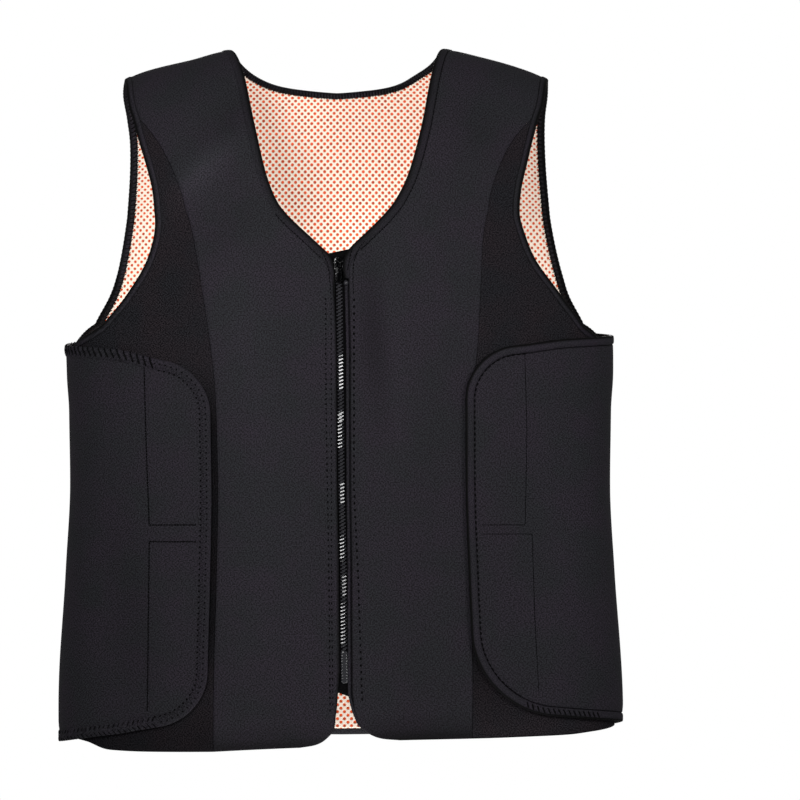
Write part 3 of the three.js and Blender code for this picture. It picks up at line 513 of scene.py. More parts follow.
def side_seams(name):
    """Lines that the panels on one side share."""
    sign = SIDES[name]
    heights = np.linspace(NECK_FRONT["z"][0], NECK_FRONT["z"][1], 51)
    edge_half = sign * (front_edge_x(name, heights) - lean(heights))
    neck_z = heights[np.argmax(lookup(NECK_FRONT, "z", name, heights) >= edge_half)]
    corner = true_place(sign, FRONT_CORNER[name]["x"], FRONT_CORNER[name]["z"])
    edge_z = np.linspace(FRONT_CORNER[name]["z"][-1] + CORNER_TO_EDGE, neck_z, 8)
    edge = true_place(sign, front_edge_x(name, edge_z), edge_z)
    z, x = (np.array(NECK_FRONT[k], float) for k in ("z", name))
    rows = z > neck_z + LEAST_STEP
    flat = np.stack([np.append(lookup(NECK_FRONT, "z", name, neck_z), x[rows]), np.append(neck_z, z[rows])], -1)
    to_ridge = curve(np.concatenate([place_at(x[rows], z[rows]), [ridge_place(SHOULDER["neck"])]]))
    neck = np.concatenate([edge[-1:], place_at(*curve(flat)[1:].T), to_ridge[-16:]])
    corner_place = edge[-1]
    edge = along(edge, np.linspace(0, 1 - V_TURN["down"] / lengths(body_point(edge))[-1], 60))
    neck = along(neck, np.linspace(V_TURN["up"] / lengths(body_point(neck))[-1], 1, 120))
    t = np.linspace(0, 1, 30)[:, None]
    turn = edge[-1] * (1 - t) ** 2 + corner_place * 2 * t * (1 - t) + neck[0] * t**2
    x, z = (np.array(PRINCESS[k], float) for k in (name, "z"))
    z[0] = hem_place(place_at(x[0], z[0])[0], name)[1]
    princess = place_at(x, z)

    start = place_at(PRINCESS[name][-1], PRINCESS_TOP)
    z, x = (np.array(ARMHOLE_FRONT[k], float) for k in ("z", name))
    below, above = z < PRINCESS_TOP - LEAST_STEP, z > PRINCESS_TOP
    seam_top = np.array([BACK_SEAM["angle"], BACK_SEAM["top"]], float)
    upper = np.concatenate([[start], place_at(x[above], z[above])[::-1], [ridge_place(SHOULDER["tip"])]])
    lower = np.concatenate([[start], place_at(x[below], z[below]), [[90, UNDERARM_HEIGHT]], [seam_top]])
    back = np.concatenate([[seam_top], place_at(ARMHOLE_BACK[name], ARMHOLE_BACK["z"], True)[::-1],
                           [ridge_place(SHOULDER["tip"], True)]])
    neck_back = np.concatenate([place_at(NECK_BACK["x"], NECK_BACK[name], True),
                                [ridge_place(SHOULDER["neck"], True)]])
    shoulder = np.linspace(SHOULDER["neck"], SHOULDER["tip"], 20)
    return {
        "corner": curve(corner), "edge": edge, "turn": turn, "neck": neck, "princess": curve(princess),
        "armhole_upper": curve(upper), "armhole_lower": curve(lower), "armhole_back": curve(back),
        "neck_back": curve(neck_back), "shoulder": ridge_place(shoulder, True),
        "shoulder_front": ridge_place(shoulder),
    }


SEAMS = {name: side_seams(name) for name in SIDES}
# Lengths over the form: round the waist by angle, and up the back by height
WAIST_HEIGHT, BACK_ANGLE = -450.0, 165.0
GIRTH_ANGLES = np.linspace(0, 180, 721)
GIRTH = lengths(body_point(np.stack([GIRTH_ANGLES, np.full(721, WAIST_HEIGHT)], -1)))
BACK_HEIGHTS = np.linspace(-660, RIDGE_HEIGHT, 400)
BACK_LENGTHS = lengths(body_point(np.stack([np.full(400, BACK_ANGLE), BACK_HEIGHTS], -1)))


def girth_of(angle):
    return np.interp(angle, GIRTH_ANGLES, GIRTH)


def angle_of(length):
    return np.interp(length, GIRTH, GIRTH_ANGLES)


def add(tree, kind, inputs=None, **settings):
    """Adds one node with its settings; an input is a value or another node's socket."""
    made = tree.nodes.new(kind)
    for key, value in settings.items():
        setattr(made, key, value)
    for key, value in (inputs or {}).items():
        if isinstance(value, bpy.types.NodeSocket):
            tree.links.new(value, made.inputs[key])
        else:
            made.inputs[key].default_value = value
    return made


def linear(hex_colour):
    """Linear RGBA of an sRGB hex value."""
    parts = [int(hex_colour[i:i + 2], 16) / 255 for i in (1, 3, 5)]
    return [c / 12.92 if c <= 0.04045 else ((c + 0.055) / 1.055) ** 2.4 for c in parts] + [1]


def per_mm(size):
    """Texture scale for a pattern of that size in millimetres."""
    return 1 / (size * MM)


def new_material(name):
    material = bpy.data.materials.new(name)
    material.use_nodes = True
    tree = material.node_tree
    tree.nodes.clear()
    return material, tree, add(tree, "ShaderNodeOutputMaterial")


# Scale that gives a diagonal wave texture a period of one unit
DIAGONAL_WAVE = 2 * math.pi / 10 / math.sqrt(2)
# Factor of painted light and shade at both ends of the value that a cloth's points carry
SHADE_RANGE = {"From Min": -8.4, "From Max": 4.6, "To Min": 0.05, "To Max": 1.52}
# Size of the slow patches in which the tint of a dye drifts
DRIFT_MM = 38


def cloth_material(name, gap, dye, tint, grain, relief_mm, roughness, gloss, painted_shade_bands=None):
    """Dyed cloth: a slanted pebble of yarn with darker gaps and a slow drift of tint, times the painted light and shade
    that its points carry.
    """
    material, tree, output = new_material(name)
    where = add(tree, "ShaderNodeTexCoord").outputs["Object"]
    cloth = add(tree, "ShaderNodeAttribute", attribute_name="cloth").outputs["Vector"]
    rows = []
    for mirror in (1, -1):
        facing = add(tree, "ShaderNodeMapping", {"Vector": cloth, "Scale": (mirror, 1, 1)})
        rows.append(add(tree, "ShaderNodeTexWave", {
            "Vector": facing.outputs[0], "Scale": DIAGONAL_WAVE / grain, "Distortion": 5.0, "Detail": 1.0,
            "Detail Scale": 1.6}, bands_direction="DIAGONAL").outputs["Fac"])
    ribbed = add(tree, "ShaderNodeMath", {0: rows[0], 1: rows[1]}, operation="ADD")
    level = add(tree, "ShaderNodeMapRange", {"Value": ribbed.outputs[0], "From Max": 2.0})
    fuzz = add(tree, "ShaderNodeTexNoise", {"Vector": cloth, "Scale": 2.3 / grain, "Detail": 0.0},
               noise_dimensions="2D")
    yarn = add(tree, "ShaderNodeMix", {"Factor": 0.2, "A": fuzz.outputs["Fac"], "B": level.outputs[0]})
    crown = add(tree, "ShaderNodeMapRange", {"Value": yarn.outputs["Result"], "From Min": 0.28, "From Max": 0.72})
    drift = add(tree, "ShaderNodeTexNoise", {"Vector": where, "Scale": per_mm(DRIFT_MM), "Detail": 2.0})
    turned = add(tree, "ShaderNodeMapRange", {"Value": drift.outputs["Fac"], "From Min": 0.36, "From Max": 0.64})
    dyed = add(tree, "ShaderNodeMix", {"Factor": turned.outputs[0], "A": linear(dye), "B": linear(tint)},
               data_type="RGBA")
    colour = add(tree, "ShaderNodeMix", {"Factor": crown.outputs[0], "A": linear(gap), "B": dyed.outputs["Result"]},
                 data_type="RGBA").outputs["Result"]
    # Painted shadow and light by height: each band scales the colour from its least to its most share over a span of
    # height
    if painted_shade_bands:
        height = add(tree, "ShaderNodeSeparateXYZ", {0: where}).outputs["Z"]
        raised = [add(tree, "ShaderNodeMapRange", {"Value": height, "From Min": low * MM, "From Max": high * MM,
                                                   "To Min": least, "To Max": most}).outputs[0]
                  for low, high, least, most in painted_shade_bands]
        lit = add(tree, "ShaderNodeMath", {0: raised[0], 1: raised[1]}, operation="ADD")
        colour = add(tree, "ShaderNodeMix", {"Factor": 1.0, "A": colour, "B": lit.outputs[0]},
                     data_type="RGBA", blend_type="MULTIPLY").outputs["Result"]
    # Painted light and shade: each point's value scales the colour, paler on swells, darker in dents, rims and tape
    # edges
    painted_light_value = add(tree, "ShaderNodeAttribute", attribute_name="painted_light").outputs["Fac"]
    painted_light_factor = add(tree, "ShaderNodeMapRange", {"Value": painted_light_value, **SHADE_RANGE})
    colour = add(tree, "ShaderNodeMix", {"Factor": 1.0, "A": colour, "B": painted_light_factor.outputs[0]},
                 data_type="RGBA", blend_type="MULTIPLY").outputs["Result"]
    bump = add(tree, "ShaderNodeBump", {"Strength": 0.6, "Distance": relief_mm * MM, "Height": crown.outputs[0]})
    shader = add(tree, "ShaderNodeBsdfPrincipled", {"Base Color": colour, "Roughness": roughness,
                                                    "Specular IOR Level": gloss, "Normal": bump.outputs[0]})
    tree.links.new(shader.outputs[0], output.inputs["Surface"])
    return material


# Grain is the width of a yarn bump in millimetres, drawn two or three times as coarse as real so that it shows
# Jersey-faced neoprene: dyed black knit on foam, matte and finely pebbled, drifting from purple-black to grey
NEOPRENE = cloth_material("jersey_neoprene", "#18161a", "#342f38", "#2e2f33",
                          grain=2.6, relief_mm=0.15, roughness=0.75, gloss=0.12)
# Unbroken loop for hook fasteners: a brushed nylon pile, darker than the knit, with painted shadow from just below the
# flaps' tops down and painted light lifting it again near the hem
LOOP = cloth_material("brushed_loop_pile", "#0f0e10", "#322d31", "#2c2c30",
                      grain=2.3, relief_mm=0.25, roughness=1.0, gloss=0.04,
                      painted_shade_bands=[(-345, -290, 0.42, 1.0), (-620, -530, 0.7, 0.0)])
# Folded elastic tape: knitted polyester, a little smoother than the cloth it covers
ELASTIC = cloth_material("folded_elastic_tape", "#17151a", "#332e37", "#2d2d31",
                         grain=2.4, relief_mm=0.12, roughness=0.75, gloss=0.12)
# Woven zip tape: dense polyester twill, nearly black
TWILL = cloth_material("zip_tape_twill", "#050506", "#0e0d0f", "#0c0c0d",
                       grain=2.2, relief_mm=0.15, roughness=0.85, gloss=0.05)
# Bonded polyester sewing thread: black with a slight lustre, drawn thick enough to show
THREAD = cloth_material("bonded_thread", "#030304", "#09080a", "#070708",
                        grain=1.6, relief_mm=0.1, roughness=0.6, gloss=0.06)


def dotted_mesh_material():
    """Warp-knit air mesh: cream face with staggered round eyelets that show the orange layer behind."""
    material, tree, output = new_material("dotted_air_mesh")
    pitch = (6.3, 6.5, 1.0)
    eyelet, edge = 1.45, 0.45
    sides = {"From Min": 110.0, "From Max": 180.0, "To Max": 0.16}  # eyelets close up a little towards the sides
    orange_patch, knit_loop = 2.2, 1.6  # loops drawn about twice as coarse as real, so that they show
    cloth = add(tree, "ShaderNodeAttribute", attribute_name="cloth").outputs["Vector"]
    cells = add(tree, "ShaderNodeVectorMath", {0: cloth, 1: pitch}, operation="DIVIDE").outputs[0]
    distances = []
    for shift in (0.0, 0.5):
        moved = add(tree, "ShaderNodeVectorMath", {0: cells, 1: (shift, shift, 0)}, operation="ADD")
        part = add(tree, "ShaderNodeVectorMath", {0: moved.outputs[0]}, operation="FRACTION")
        middle = add(tree, "ShaderNodeVectorMath", {0: part.outputs[0], 1: (0.5, 0.5, 0)}, operation="SUBTRACT")
        sized = add(tree, "ShaderNodeVectorMath", {0: middle.outputs[0], 1: (pitch[0], pitch[1], 0)},
                    operation="MULTIPLY")
        distances.append(add(tree, "ShaderNodeVectorMath", {0: sized.outputs[0]}, operation="LENGTH").outputs[1])
    nearest = add(tree, "ShaderNodeMath", {0: distances[0], 1: distances[1]}, operation="MINIMUM")
    across = add(tree, "ShaderNodeMath", {0: add(tree, "ShaderNodeSeparateXYZ", {0: cloth}).outputs["X"]},
                 operation="ABSOLUTE")
    closing = add(tree, "ShaderNodeMapRange", {"Value": across.outputs[0], **sides})
    reach = add(tree, "ShaderNodeMath", {0: nearest.outputs[0], 1: closing.outputs[0]}, operation="ADD")
    hole = add(tree, "ShaderNodeMapRange", {"Value": reach.outputs[0], "From Min": eyelet - edge,
                                            "From Max": eyelet + edge, "To Min": 1.0, "To Max": 0.0},
               interpolation_type="SMOOTHSTEP")
    where = add(tree, "ShaderNodeTexCoord").outputs["Object"]
    uneven = add(tree, "ShaderNodeTexNoise", {"Vector": where, "Scale": per_mm(orange_patch), "Detail": 1.0})
    shade = add(tree, "ShaderNodeMapRange", {"Value": uneven.outputs["Fac"], "From Min": 0.35, "From Max": 0.62})
    orange = add(tree, "ShaderNodeMix", {"Factor": shade.outputs[0], "A": linear("#a83a14"),
                                         "B": linear("#f0581f")}, data_type="RGBA")
    knit = add(tree, "ShaderNodeTexNoise", {"Vector": where, "Scale": per_mm(knit_loop), "Detail": 1.0})
    cream = add(tree, "ShaderNodeMix", {"Factor": knit.outputs["Fac"], "A": linear("#f9dfc6"),
                                        "B": linear("#fffaf0")}, data_type="RGBA")
    colour = add(tree, "ShaderNodeMix", {"Factor": hole.outputs[0], "A": cream.outputs["Result"],
                                         "B": orange.outputs["Result"]}, data_type="RGBA")
    bump = add(tree, "ShaderNodeBump", {"Strength": 0.6, "Distance": 0.5 * MM, "Height": hole.outputs[0]},
               invert=True)
    shader = add(tree, "ShaderNodeBsdfPrincipled", {"Base Color": colour.outputs["Result"], "Roughness": 0.9,
                                                    "Specular IOR Level": 0.2, "Normal": bump.outputs[0]})
    tree.links.new(shader.outputs[0], output.inputs["Surface"])
    return material


def hard_material(name, colour, roughness, wear, gloss, shine, pebble):
    """Hard finish over a pebbled moulded or cast skin, dulled by handling but for spots that keep their shine."""
    rubbed_mm, pebble_mm = 1.5, 0.3
    material, tree, output = new_material(name)
    where = add(tree, "ShaderNodeTexCoord").outputs["Object"]
    rub = add(tree, "ShaderNodeTexNoise", {"Vector": where, "Scale": per_mm(rubbed_mm), "Detail": 2.0})
    dulled = add(tree, "ShaderNodeMapRange", {"Value": rub.outputs["Fac"], "To Min": roughness,
                                              "To Max": roughness + wear})
    kept = add(tree, "ShaderNodeMapRange", {"Value": rub.outputs["Fac"], "From Min": 0.6, "From Max": 0.66,
                                            "To Min": gloss, "To Max": shine})
    bump = add(tree, "ShaderNodeBump", {"Strength": pebble, "Distance": pebble_mm * MM, "Height": rub.outputs["Fac"]})
    shader = add(tree, "ShaderNodeBsdfPrincipled", {
        "Base Color": linear(colour), "Roughness": dulled.outputs[0], "Specular IOR Level": kept.outputs[0],
        "Normal": bump.outputs[0]})
    tree.links.new(shader.outputs[0], output.inputs["Surface"])
    return material


DOTTED_MESH = dotted_mesh_material()
# Moulded acetal teeth: hard black plastic that flashes white where a face meets the light
ACETAL = hard_material("moulded_acetal", "#2b2b2f", roughness=0.14, wear=0.06, gloss=0.42, shine=0.5, pebble=0.015)
# Black enamel over die-cast zinc: deep gloss with bright edges
ENAMEL = hard_material("black_enamel", "#030304", roughness=0.12, wear=0.05, gloss=0.03, shine=0.6, pebble=0.5)


def make(name, points, faces, material, nodes=(), cloth=None, body="vest", shade=0.0):
    """A piece from points in millimetres and faces, riding on its body."""
    points = np.asarray(points, float)
    mesh = bpy.data.meshes.new(name)
    mesh.from_pydata((points * MM).tolist(), [], [list(map(int, face)) for face in faces])
    mesh.polygons.foreach_set("use_smooth", np.ones(len(mesh.polygons), bool))
    mesh.materials.append(material)
    if cloth is None:
        x, y, z = points.T
        cloth = np.column_stack([x + y, z + y, np.zeros(len(points))])
    mesh.attributes.new("cloth", "FLOAT_VECTOR", "POINT").data.foreach_set("vector", cloth.ravel())
    # Painted light and shade per point: the given painted shade plus the cloth's relief, which paints swells paler and
    # dents darker
    painted_light = shade + (relief(*points.T) if body == "vest" else np.zeros(len(points)))
    mesh.attributes.new("painted_light", "FLOAT", "POINT").data.foreach_set("value", painted_light)
    mesh.update()
    piece = bpy.data.objects.new(name, mesh)
    bpy.context.scene.collection.objects.link(piece)
    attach(piece, body)
    if nodes:
        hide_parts(*nodes)
    return piece


def part_in(piece, material, faces):
    """Gives some faces of a piece a second material."""
    piece.data.materials.append(material)
    index = np.zeros(len(piece.data.polygons), np.int32)
    index[faces] = 1
    piece.data.polygons.foreach_set("material_index", index)
    return piece


def grid_faces(ids):
    return np.stack([ids[:-1, :-1], ids[:-1, 1:], ids[1:, 1:], ids[1:, :-1]], -1).reshape(-1, 4)


def outward(points, faces):
    """Faces turned so that the closed body they make has a positive volume."""
    a, b, c = (points[faces[:, k]] for k in (0, 1, 2))
    d = points[faces[:, 3]]
    volume = np.einsum("ij,ij->i", a, np.cross(b, c)).sum() + np.einsum("ij,ij->i", a, np.cross(c, d)).sum()
    return faces if volume > 0 else faces[:, ::-1]


def tube(points, ids):
    """Outward faces of a tube from its rings of point numbers, with a cap at each end."""
    ring = grid_faces(ids)
    faces = outward(points - points.mean(0), ring)
    caps = [list(ids[0, :-1])[::-1], list(ids[-1, :-1])]
    kept = np.array_equal(faces[0], ring[0])
    return [list(face) for face in faces] + (caps if kept else [cap[::-1] for cap in caps])


def shell(outer, inner):
    """Closed wall between two grids of points whose borders meet."""
    rows, columns = outer.shape[:2]
    ids = np.arange(rows * columns).reshape(rows, columns)
    core = np.zeros((rows, columns), bool)
    core[1:-1, 1:-1] = True
    under = ids.copy()
    under[core] = rows * columns + np.arange(core.sum())
    points = np.concatenate([outer.reshape(-1, 3), inner[core]])
    faces = np.concatenate([grid_faces(ids), grid_faces(under)[:, ::-1]])
    return points, outward(points, faces), core


def wall_points(sign, places, near, inner, outer):
    """Outer and inner points of a cloth wall whose rim rounds over."""
    fill = np.sqrt(1 - (1 - near) ** 2)
    middle, half = (inner + outer) / 2, (outer - inner) / 2
    return surface(sign, places, middle + half * fill)[0], surface(sign, places, middle - half * fill)[0]


def cloth_of(sign, places):
    """Distances over the cloth from centre front and from the hem line, in millimetres."""
    up = np.interp(places[..., 1], BACK_HEIGHTS, BACK_LENGTHS)
    return np.stack([sign * girth_of(places[..., 0]), up, np.zeros_like(up)], -1)


def wall(sign, places, near, inner, outer, low=0.0):
    """Closed cloth wall over a grid of places, with its cloth coordinates and painted shade."""
    points, faces, core = shell(*wall_points(sign, places, near, inner, outer))
    cloth = cloth_of(sign, places)
    return points, faces, np.concatenate([cloth.reshape(-1, 3), cloth[core]]), rim_shade(near, core, low)


def rim_shade(near, core, low=0.0):
    """Painted shade, darkest on the cut or sewn rim where the cloth turns under."""
    shade = np.minimum(RIM_SHADE * (1 - near), low)
    return np.concatenate([shade.ravel(), shade[core]])


def hem_shade(name, places, table=HEM_SHADE):
    """Painted shade, darker towards the hem."""
    return np.interp(places[..., 1] - lookup(HEM, "angle", name, places[..., 0]), *table)


def spread(places):
    """Flat area of a cloth over a grid of places, in square metres."""
    p = body_point(places)
    cross = np.cross(p[1:, 1:] - p[:-1, :-1], p[1:, :-1] - p[:-1, 1:])
    return float(np.linalg.norm(cross, axis=-1).sum() / 2) * MM * MM


def panel(name, node, finish, material, places, near, layer, low=0.0):
    """One side's cloth over a grid of places, with its area."""
    points, faces, cloth, shade = wall(SIDES[name], places, near, *layer, low)
    replaced = f"{node}_{name}"
    piece = make(f"{replaced}_{finish}", points, faces, material, [replaced], cloth, shade=shade)
    return piece, spread(places)


def front_panel(name):
    seams = SEAMS[name]
    princess = seams["princess"]
    gap = np.stack([seams["corner"][-1], seams["edge"][0]])
    inner = boundary((seams["corner"], 4), (gap, 1), (seams["edge"], 7), (seams["turn"], 1.5), (seams["neck"], 7.5))
    outer = boundary((princess, 16), (seams["armhole_upper"], 4))
    width, height = RULED["front"]
    u, du = rulings(width, STEP["panel"], end=SEAM_RIM)
    v, dv = rulings(height, STEP["panel"], end=SEAM_RIM)
    bottom = boundary((straight(inner(np.array([0.0]))[0], princess[0]), 1))
    top = boundary((seams["shoulder_front"], 1))
    places = cloth_between(bottom, top, inner, outer, u, v)
    near = np.minimum(du[None], dv[:, None])
    # Painted shade darkens the front towards its hem
    return panel(name, "front_panel", "knit", NEOPRENE, places, near, PANEL, hem_shade(name, places))


def side_panel(name):
    seams = SEAMS[name]
    princess = seams["princess"]
    angle = BACK_SEAM["angle"]
    back = straight(hem_place(np.array(angle), name), (angle, BACK_SEAM["top"]))
    hem = hem_place(np.linspace(princess[0][0], angle, 60), name)
    top = seams["armhole_lower"].copy()
    top[0], top[-1] = princess[-1], back[-1]
    width, height = RULED["side"]
    u, du = rulings(width, STEP["panel"], SEAM_RIM, SEAM_RIM)
    v, dv = rulings(height, STEP["panel"])
    places = cloth_between(*(boundary((line, 1)) for line in (hem, top, princess, back)), u, v)
    near = np.minimum(du[None], dv[:, None])
    # Painted shadow under the flap, low on the loop cloth
    low = hem_shade(name, places, UNDER_FLAP_SHADE[name])
    return panel(name, "side_panel", "loop", LOOP, places, near, PANEL, low)


def back_places(name, above_hem, u, v):
    """Half of the back, from centre back to the side seam."""
    seams = SEAMS[name]
    angle = BACK_SEAM["angle"]
    foot = hem_place(np.array(angle), name) + (0, above_hem)
    side = boundary((straight(foot, (angle, BACK_SEAM["top"])), 10), (seams["armhole_back"], 9))
    top = boundary((seams["neck_back"], 6), (seams["shoulder"], 4))
    hem = hem_place(np.linspace(180, angle, 60), name) + (0, above_hem)
    bottom = boundary((hem, 1))
    middle = boundary((straight(hem[0], seams["neck_back"][0]), 1))
    return cloth_between(bottom, top, middle, side, u, v)


def back_layer(layer, above_hem, step):
    """Grid of both halves of the back as one wall, with its cloth coordinates and area."""
    width, height = RULED["back"]
    u, du = rulings(width, step, 0, SEAM_RIM)
    v, dv = rulings(height, step, end=SEAM_RIM)
    near = np.minimum(du[None], dv[:, None])
    halves, cloths, area = [], [], 0
    for name, sign in SIDES.items():
        places = back_places(name, above_hem, u, v)
        halves.append(wall_points(sign, places, near, *layer))
        cloth = cloth_of(-sign, places)
        cloth[..., 0] += sign * GIRTH[-1]
        cloths.append(cloth)
        area += spread(places)
    left, right = halves
    outer, inner = (np.concatenate([left[k][:, :0:-1], right[k]], axis=1) for k in (0, 1))
    cloth = np.concatenate([cloths[0][:, :0:-1], cloths[1]], axis=1)
    points, faces, core = shell(outer, inner)
    shade = rim_shade(np.concatenate([near[:, :0:-1], near], axis=1), core)
    return points, faces, np.concatenate([cloth.reshape(-1, 3), cloth[core]]), shade, area


def flap_lines(name):
    """Edges of a flap inside its tape: bottom and top from the front corner to the back seam."""
    flap, inset = FLAP[name], FLAP_TAPE["inset"]
    back = girth_of(FLAP_SEAM_ANGLE)

    def run(column, radius, up):
        front = girth_of(flap["front"]) + inset - flap["forward"][column]
        turn = np.radians(np.linspace(0, 90, 25))
        length = np.concatenate([front + radius * (1 - np.cos(turn)), np.linspace(front + radius, back, 60)[1:]])
        height = lookup(flap["edges"], "angle", column, angle_of(length)) - up * inset
        height[:25] -= up * radius * (1 - np.sin(turn))
        return np.stack([angle_of(length), height], -1)

    return run("bottom", flap["bottom_radius"] - inset, -1), run("top", flap["top_radius"] - inset, 1)


def flap_inner(name, places):
    """Offset of a flap's inner face, which stands off more round the side and curls in at its foot."""
    angle, height = places[..., 0], places[..., 1]
    round_side = np.interp(angle, *FLAP_ROUND_SIDE)
    above_foot = height - lookup(FLAP[name]["edges"], "angle", "bottom", angle)
    curl = FLAP_CURL["depth"] * np.clip(1 - above_foot / FLAP_CURL["height"], 0, 1.2) ** 2
    stand_off = lookup(FLAP_FLARE, "z", name, height) - curl
    return PANEL[1] + lookup(FLAP_EASE, "angle", "gap", angle) + round_side * stand_off


def side_flap(name):
    bottom, top = flap_lines(name)
    width, height = RULED["flap"]
    u, du = rulings(width, STEP["panel"])
    v, dv = rulings(height, STEP["panel"])
    lines = bottom, top, straight(bottom[0], top[0]), straight(bottom[-1], top[-1])
    places = cloth_between(*(boundary((line, 1)) for line in lines), u, v)
    inner = flap_inner(name, places)
    near = np.minimum(du[None], dv[:, None])
    return panel(name, "side_flap", "knit", NEOPRENE, places, near, (inner, inner + FLAP_THICKNESS))


def trace(stops, step, closed=False):
    """Even frames along a line of (sign, places, offset) stretches: points, normals, outward and lengths along."""
    points, normals = [], []
    for sign, places, offset in stops:
        p, n = surface(sign, places, offset)
        points.append(p)
        normals.append(n)
    points, normals = np.concatenate(points), np.concatenate(normals)
    keep = np.concatenate([[True], np.linalg.norm(np.diff(points, axis=0), axis=1) > 1e-4])
    points, normals = points[keep], normals[keep]
    if closed:
        points, normals = np.concatenate([points, points[:1]]), np.concatenate([normals, normals[:1]])
    run = lengths(points)
    at = np.linspace(0, run[-1], max(3, round(run[-1] / step)) + 1)
    at = at[:-1] if closed else at
    points, normals = (np.stack([np.interp(at, run, a[:, k]) for k in range(3)], -1) for a in (points, normals))
    ahead, behind = np.roll(points, -1, axis=0), np.roll(points, 1, axis=0)
    if not closed:
        ahead[-1], behind[0] = points[-1], points[0]
    out = unit(np.cross(normals, unit(ahead - behind)))
    return {"point": points, "normal": unit(normals), "out": out, "at": at}


def sweep(frames, section, closed=False):
    """Closed body from a section (stations, sides, 2) of outward and normal offsets carried along frames."""
    points = (frames["point"][:, None] + section[..., :1] * frames["out"][:, None]
              + section[..., 1:] * frames["normal"][:, None])
    stations, sides = section.shape[:2]
    ids = np.arange(stations * sides).reshape(stations, sides)
    ids = np.concatenate([ids, ids[:, :1]], axis=1)
    flat = points.reshape(-1, 3)
    if not closed:
        return flat, tube(flat, ids)
    faces = outward(flat - flat.mean(0), grid_faces(np.concatenate([ids, ids[:1]])))
    return flat, [list(face) for face in faces]


def squared(value, round_off):
    """Cosine or sine of a turn, pushed out towards a square."""
    return np.sign(value) * np.abs(value) ** round_off


def tape_section(frames, tape, ribs, puckered, overlap, sides=24, round_off=0.6):
    """Rounded folded-tape section lapped over the panel; ribs gives the pitch and slant of its cross ribs."""
    turn = np.linspace(0, 2 * math.pi, sides, endpoint=False)
    across, through = squared(np.cos(turn), round_off), squared(np.sin(turn), round_off)
    width, inside, outside = (np.asarray(tape[key], float).reshape(-1, 1) for key in ("width", "inside", "outside"))
    pitch, slant = ribs
    depth = RIB_DEPTH["smooth"] + RIB_DEPTH["puckered"] * puckered
    wave = np.sin(2 * math.pi * (frames["at"][:, None] + slant * across[None]) / pitch)
    swell = 1 + depth.reshape(-1, 1) * (0.5 * wave - 0.5)
    x = (width - overlap) / 2 + (width + overlap) / 2 * across[None] * np.ones_like(wave)
    y = (inside + outside) / 2 + (outside - inside) / 2 * through[None] * swell
    return np.stack([x, y], -1)


def tape_shade(section, width, front, back=None, behind=0.0):
    """Painted shade and highlight of a tape by distance from its finished edge, from one table at the front to another
    behind.
    """
    depth = np.reshape(width, (-1, 1)) - section[..., 0]
    share = np.reshape(behind, (-1, 1))
    return (np.interp(depth, *front) * (1 - share) + np.interp(depth, *(back or front)) * share).ravel()


def behind_share(frames):
    """Share from 0 at the front to 1 a little behind the shoulder line."""
    return np.clip(frames["point"][:, 1] / BEHIND, 0, 1)


def neck_binding():
    """Folded tape round the neck; at the front it turns down beside the slider and runs out."""
    stops = []
    for name, sign in SIDES.items():
        seams = SEAMS[name]
        edge = along(seams["edge"], np.linspace(0.97, 1, 12))
        foot = np.concatenate([edge[-3:] if name == "left" else edge, seams["turn"][1:]])
        line = np.concatenate([foot, seams["neck"][1:], seams["neck_back"][::-1]])
        stops.append((sign, line if sign > 0 else line[::-1], PANEL[0]))
    frames = trace(stops, 0.6)
    behind = behind_share(frames)
    at, to_end = frames["at"], frames["at"][-1] - frames["at"]
    full = NECK_TAPE["width"] - NECK_TAPE["narrows"] * behind
    from_left, from_right = np.interp(at, *NECK_TAPE["left_end"]), np.interp(to_end, *NECK_TAPE["right_end"])
    rise = NECK_TAPE["rise"]
    raised = np.clip((to_end - rise["from"]) / rise["over"], 0, 1)
    tape = {"width": np.minimum(np.minimum(from_left, from_right), full), "inside": NECK_TAPE["inside"],
            "outside": rise["flush"] + (NECK_TAPE["outside"] - rise["flush"]) * raised}
    section = tape_section(frames, tape, NECK_TAPE["ribs"], behind, TAPE_LAP)
    points, faces = sweep(frames, section)
    # Painted shade and highlight across the tape's roll
    shade = tape_shade(section, tape["width"], NECK_TAPE["front"], NECK_TAPE["back"], behind)
    # Painted ribs of light and shade behind
    painted_ribs = NECK_TAPE["painted_ribs"]
    ridges = painted_ribs["shade"] * behind * np.sin(2 * math.pi * at / painted_ribs["pitch"])
    shade += np.repeat(ridges, section.shape[1])
    return make("neck_binding_tape", points, faces, ELASTIC, ["neck_binding"], shade=shade)


def armhole_binding(name):
    seams, sign, tape = SEAMS[name], SIDES[name], ARMHOLE_TAPE
    line = np.concatenate([seams["armhole_upper"][::-1], seams["armhole_lower"], seams["armhole_back"]])
    frames = trace([(sign, line if sign > 0 else line[::-1], PANEL[0])], 0.9, closed=True)
    behind = behind_share(frames)
    section = tape_section(frames, tape, tape["ribs"], behind, TAPE_LAP)
    points, faces = sweep(frames, section, closed=True)
    node = f"armhole_binding_{name}"
    shade = tape_shade(section, tape["width"], tape["front"], tape["back"], behind)
    _, y, z = frames["point"].T
    # Painted shade: low under the arm behind, and on one side's tape
    foot = np.interp(z, *tape["foot"]) * np.clip(y / tape["foot_depth"], 0, 1)
    front, back = tape["dim"][name]
    shade += np.repeat(foot + front * (1 - behind) + back * behind, section.shape[1])
    return make(f"{node}_tape", points, faces, ELASTIC, [node], shade=shade)


def flap_edge(name, step):
    """Frames round a flap's free edge, at the flap's inner face."""
    bottom, top = flap_lines(name)
    line = np.concatenate([bottom[::-1], straight(bottom[0], top[0])[1:], top[1:]])
    line = line if SIDES[name] > 0 else line[::-1]
    return trace([(SIDES[name], line, flap_inner(name, line))], step)


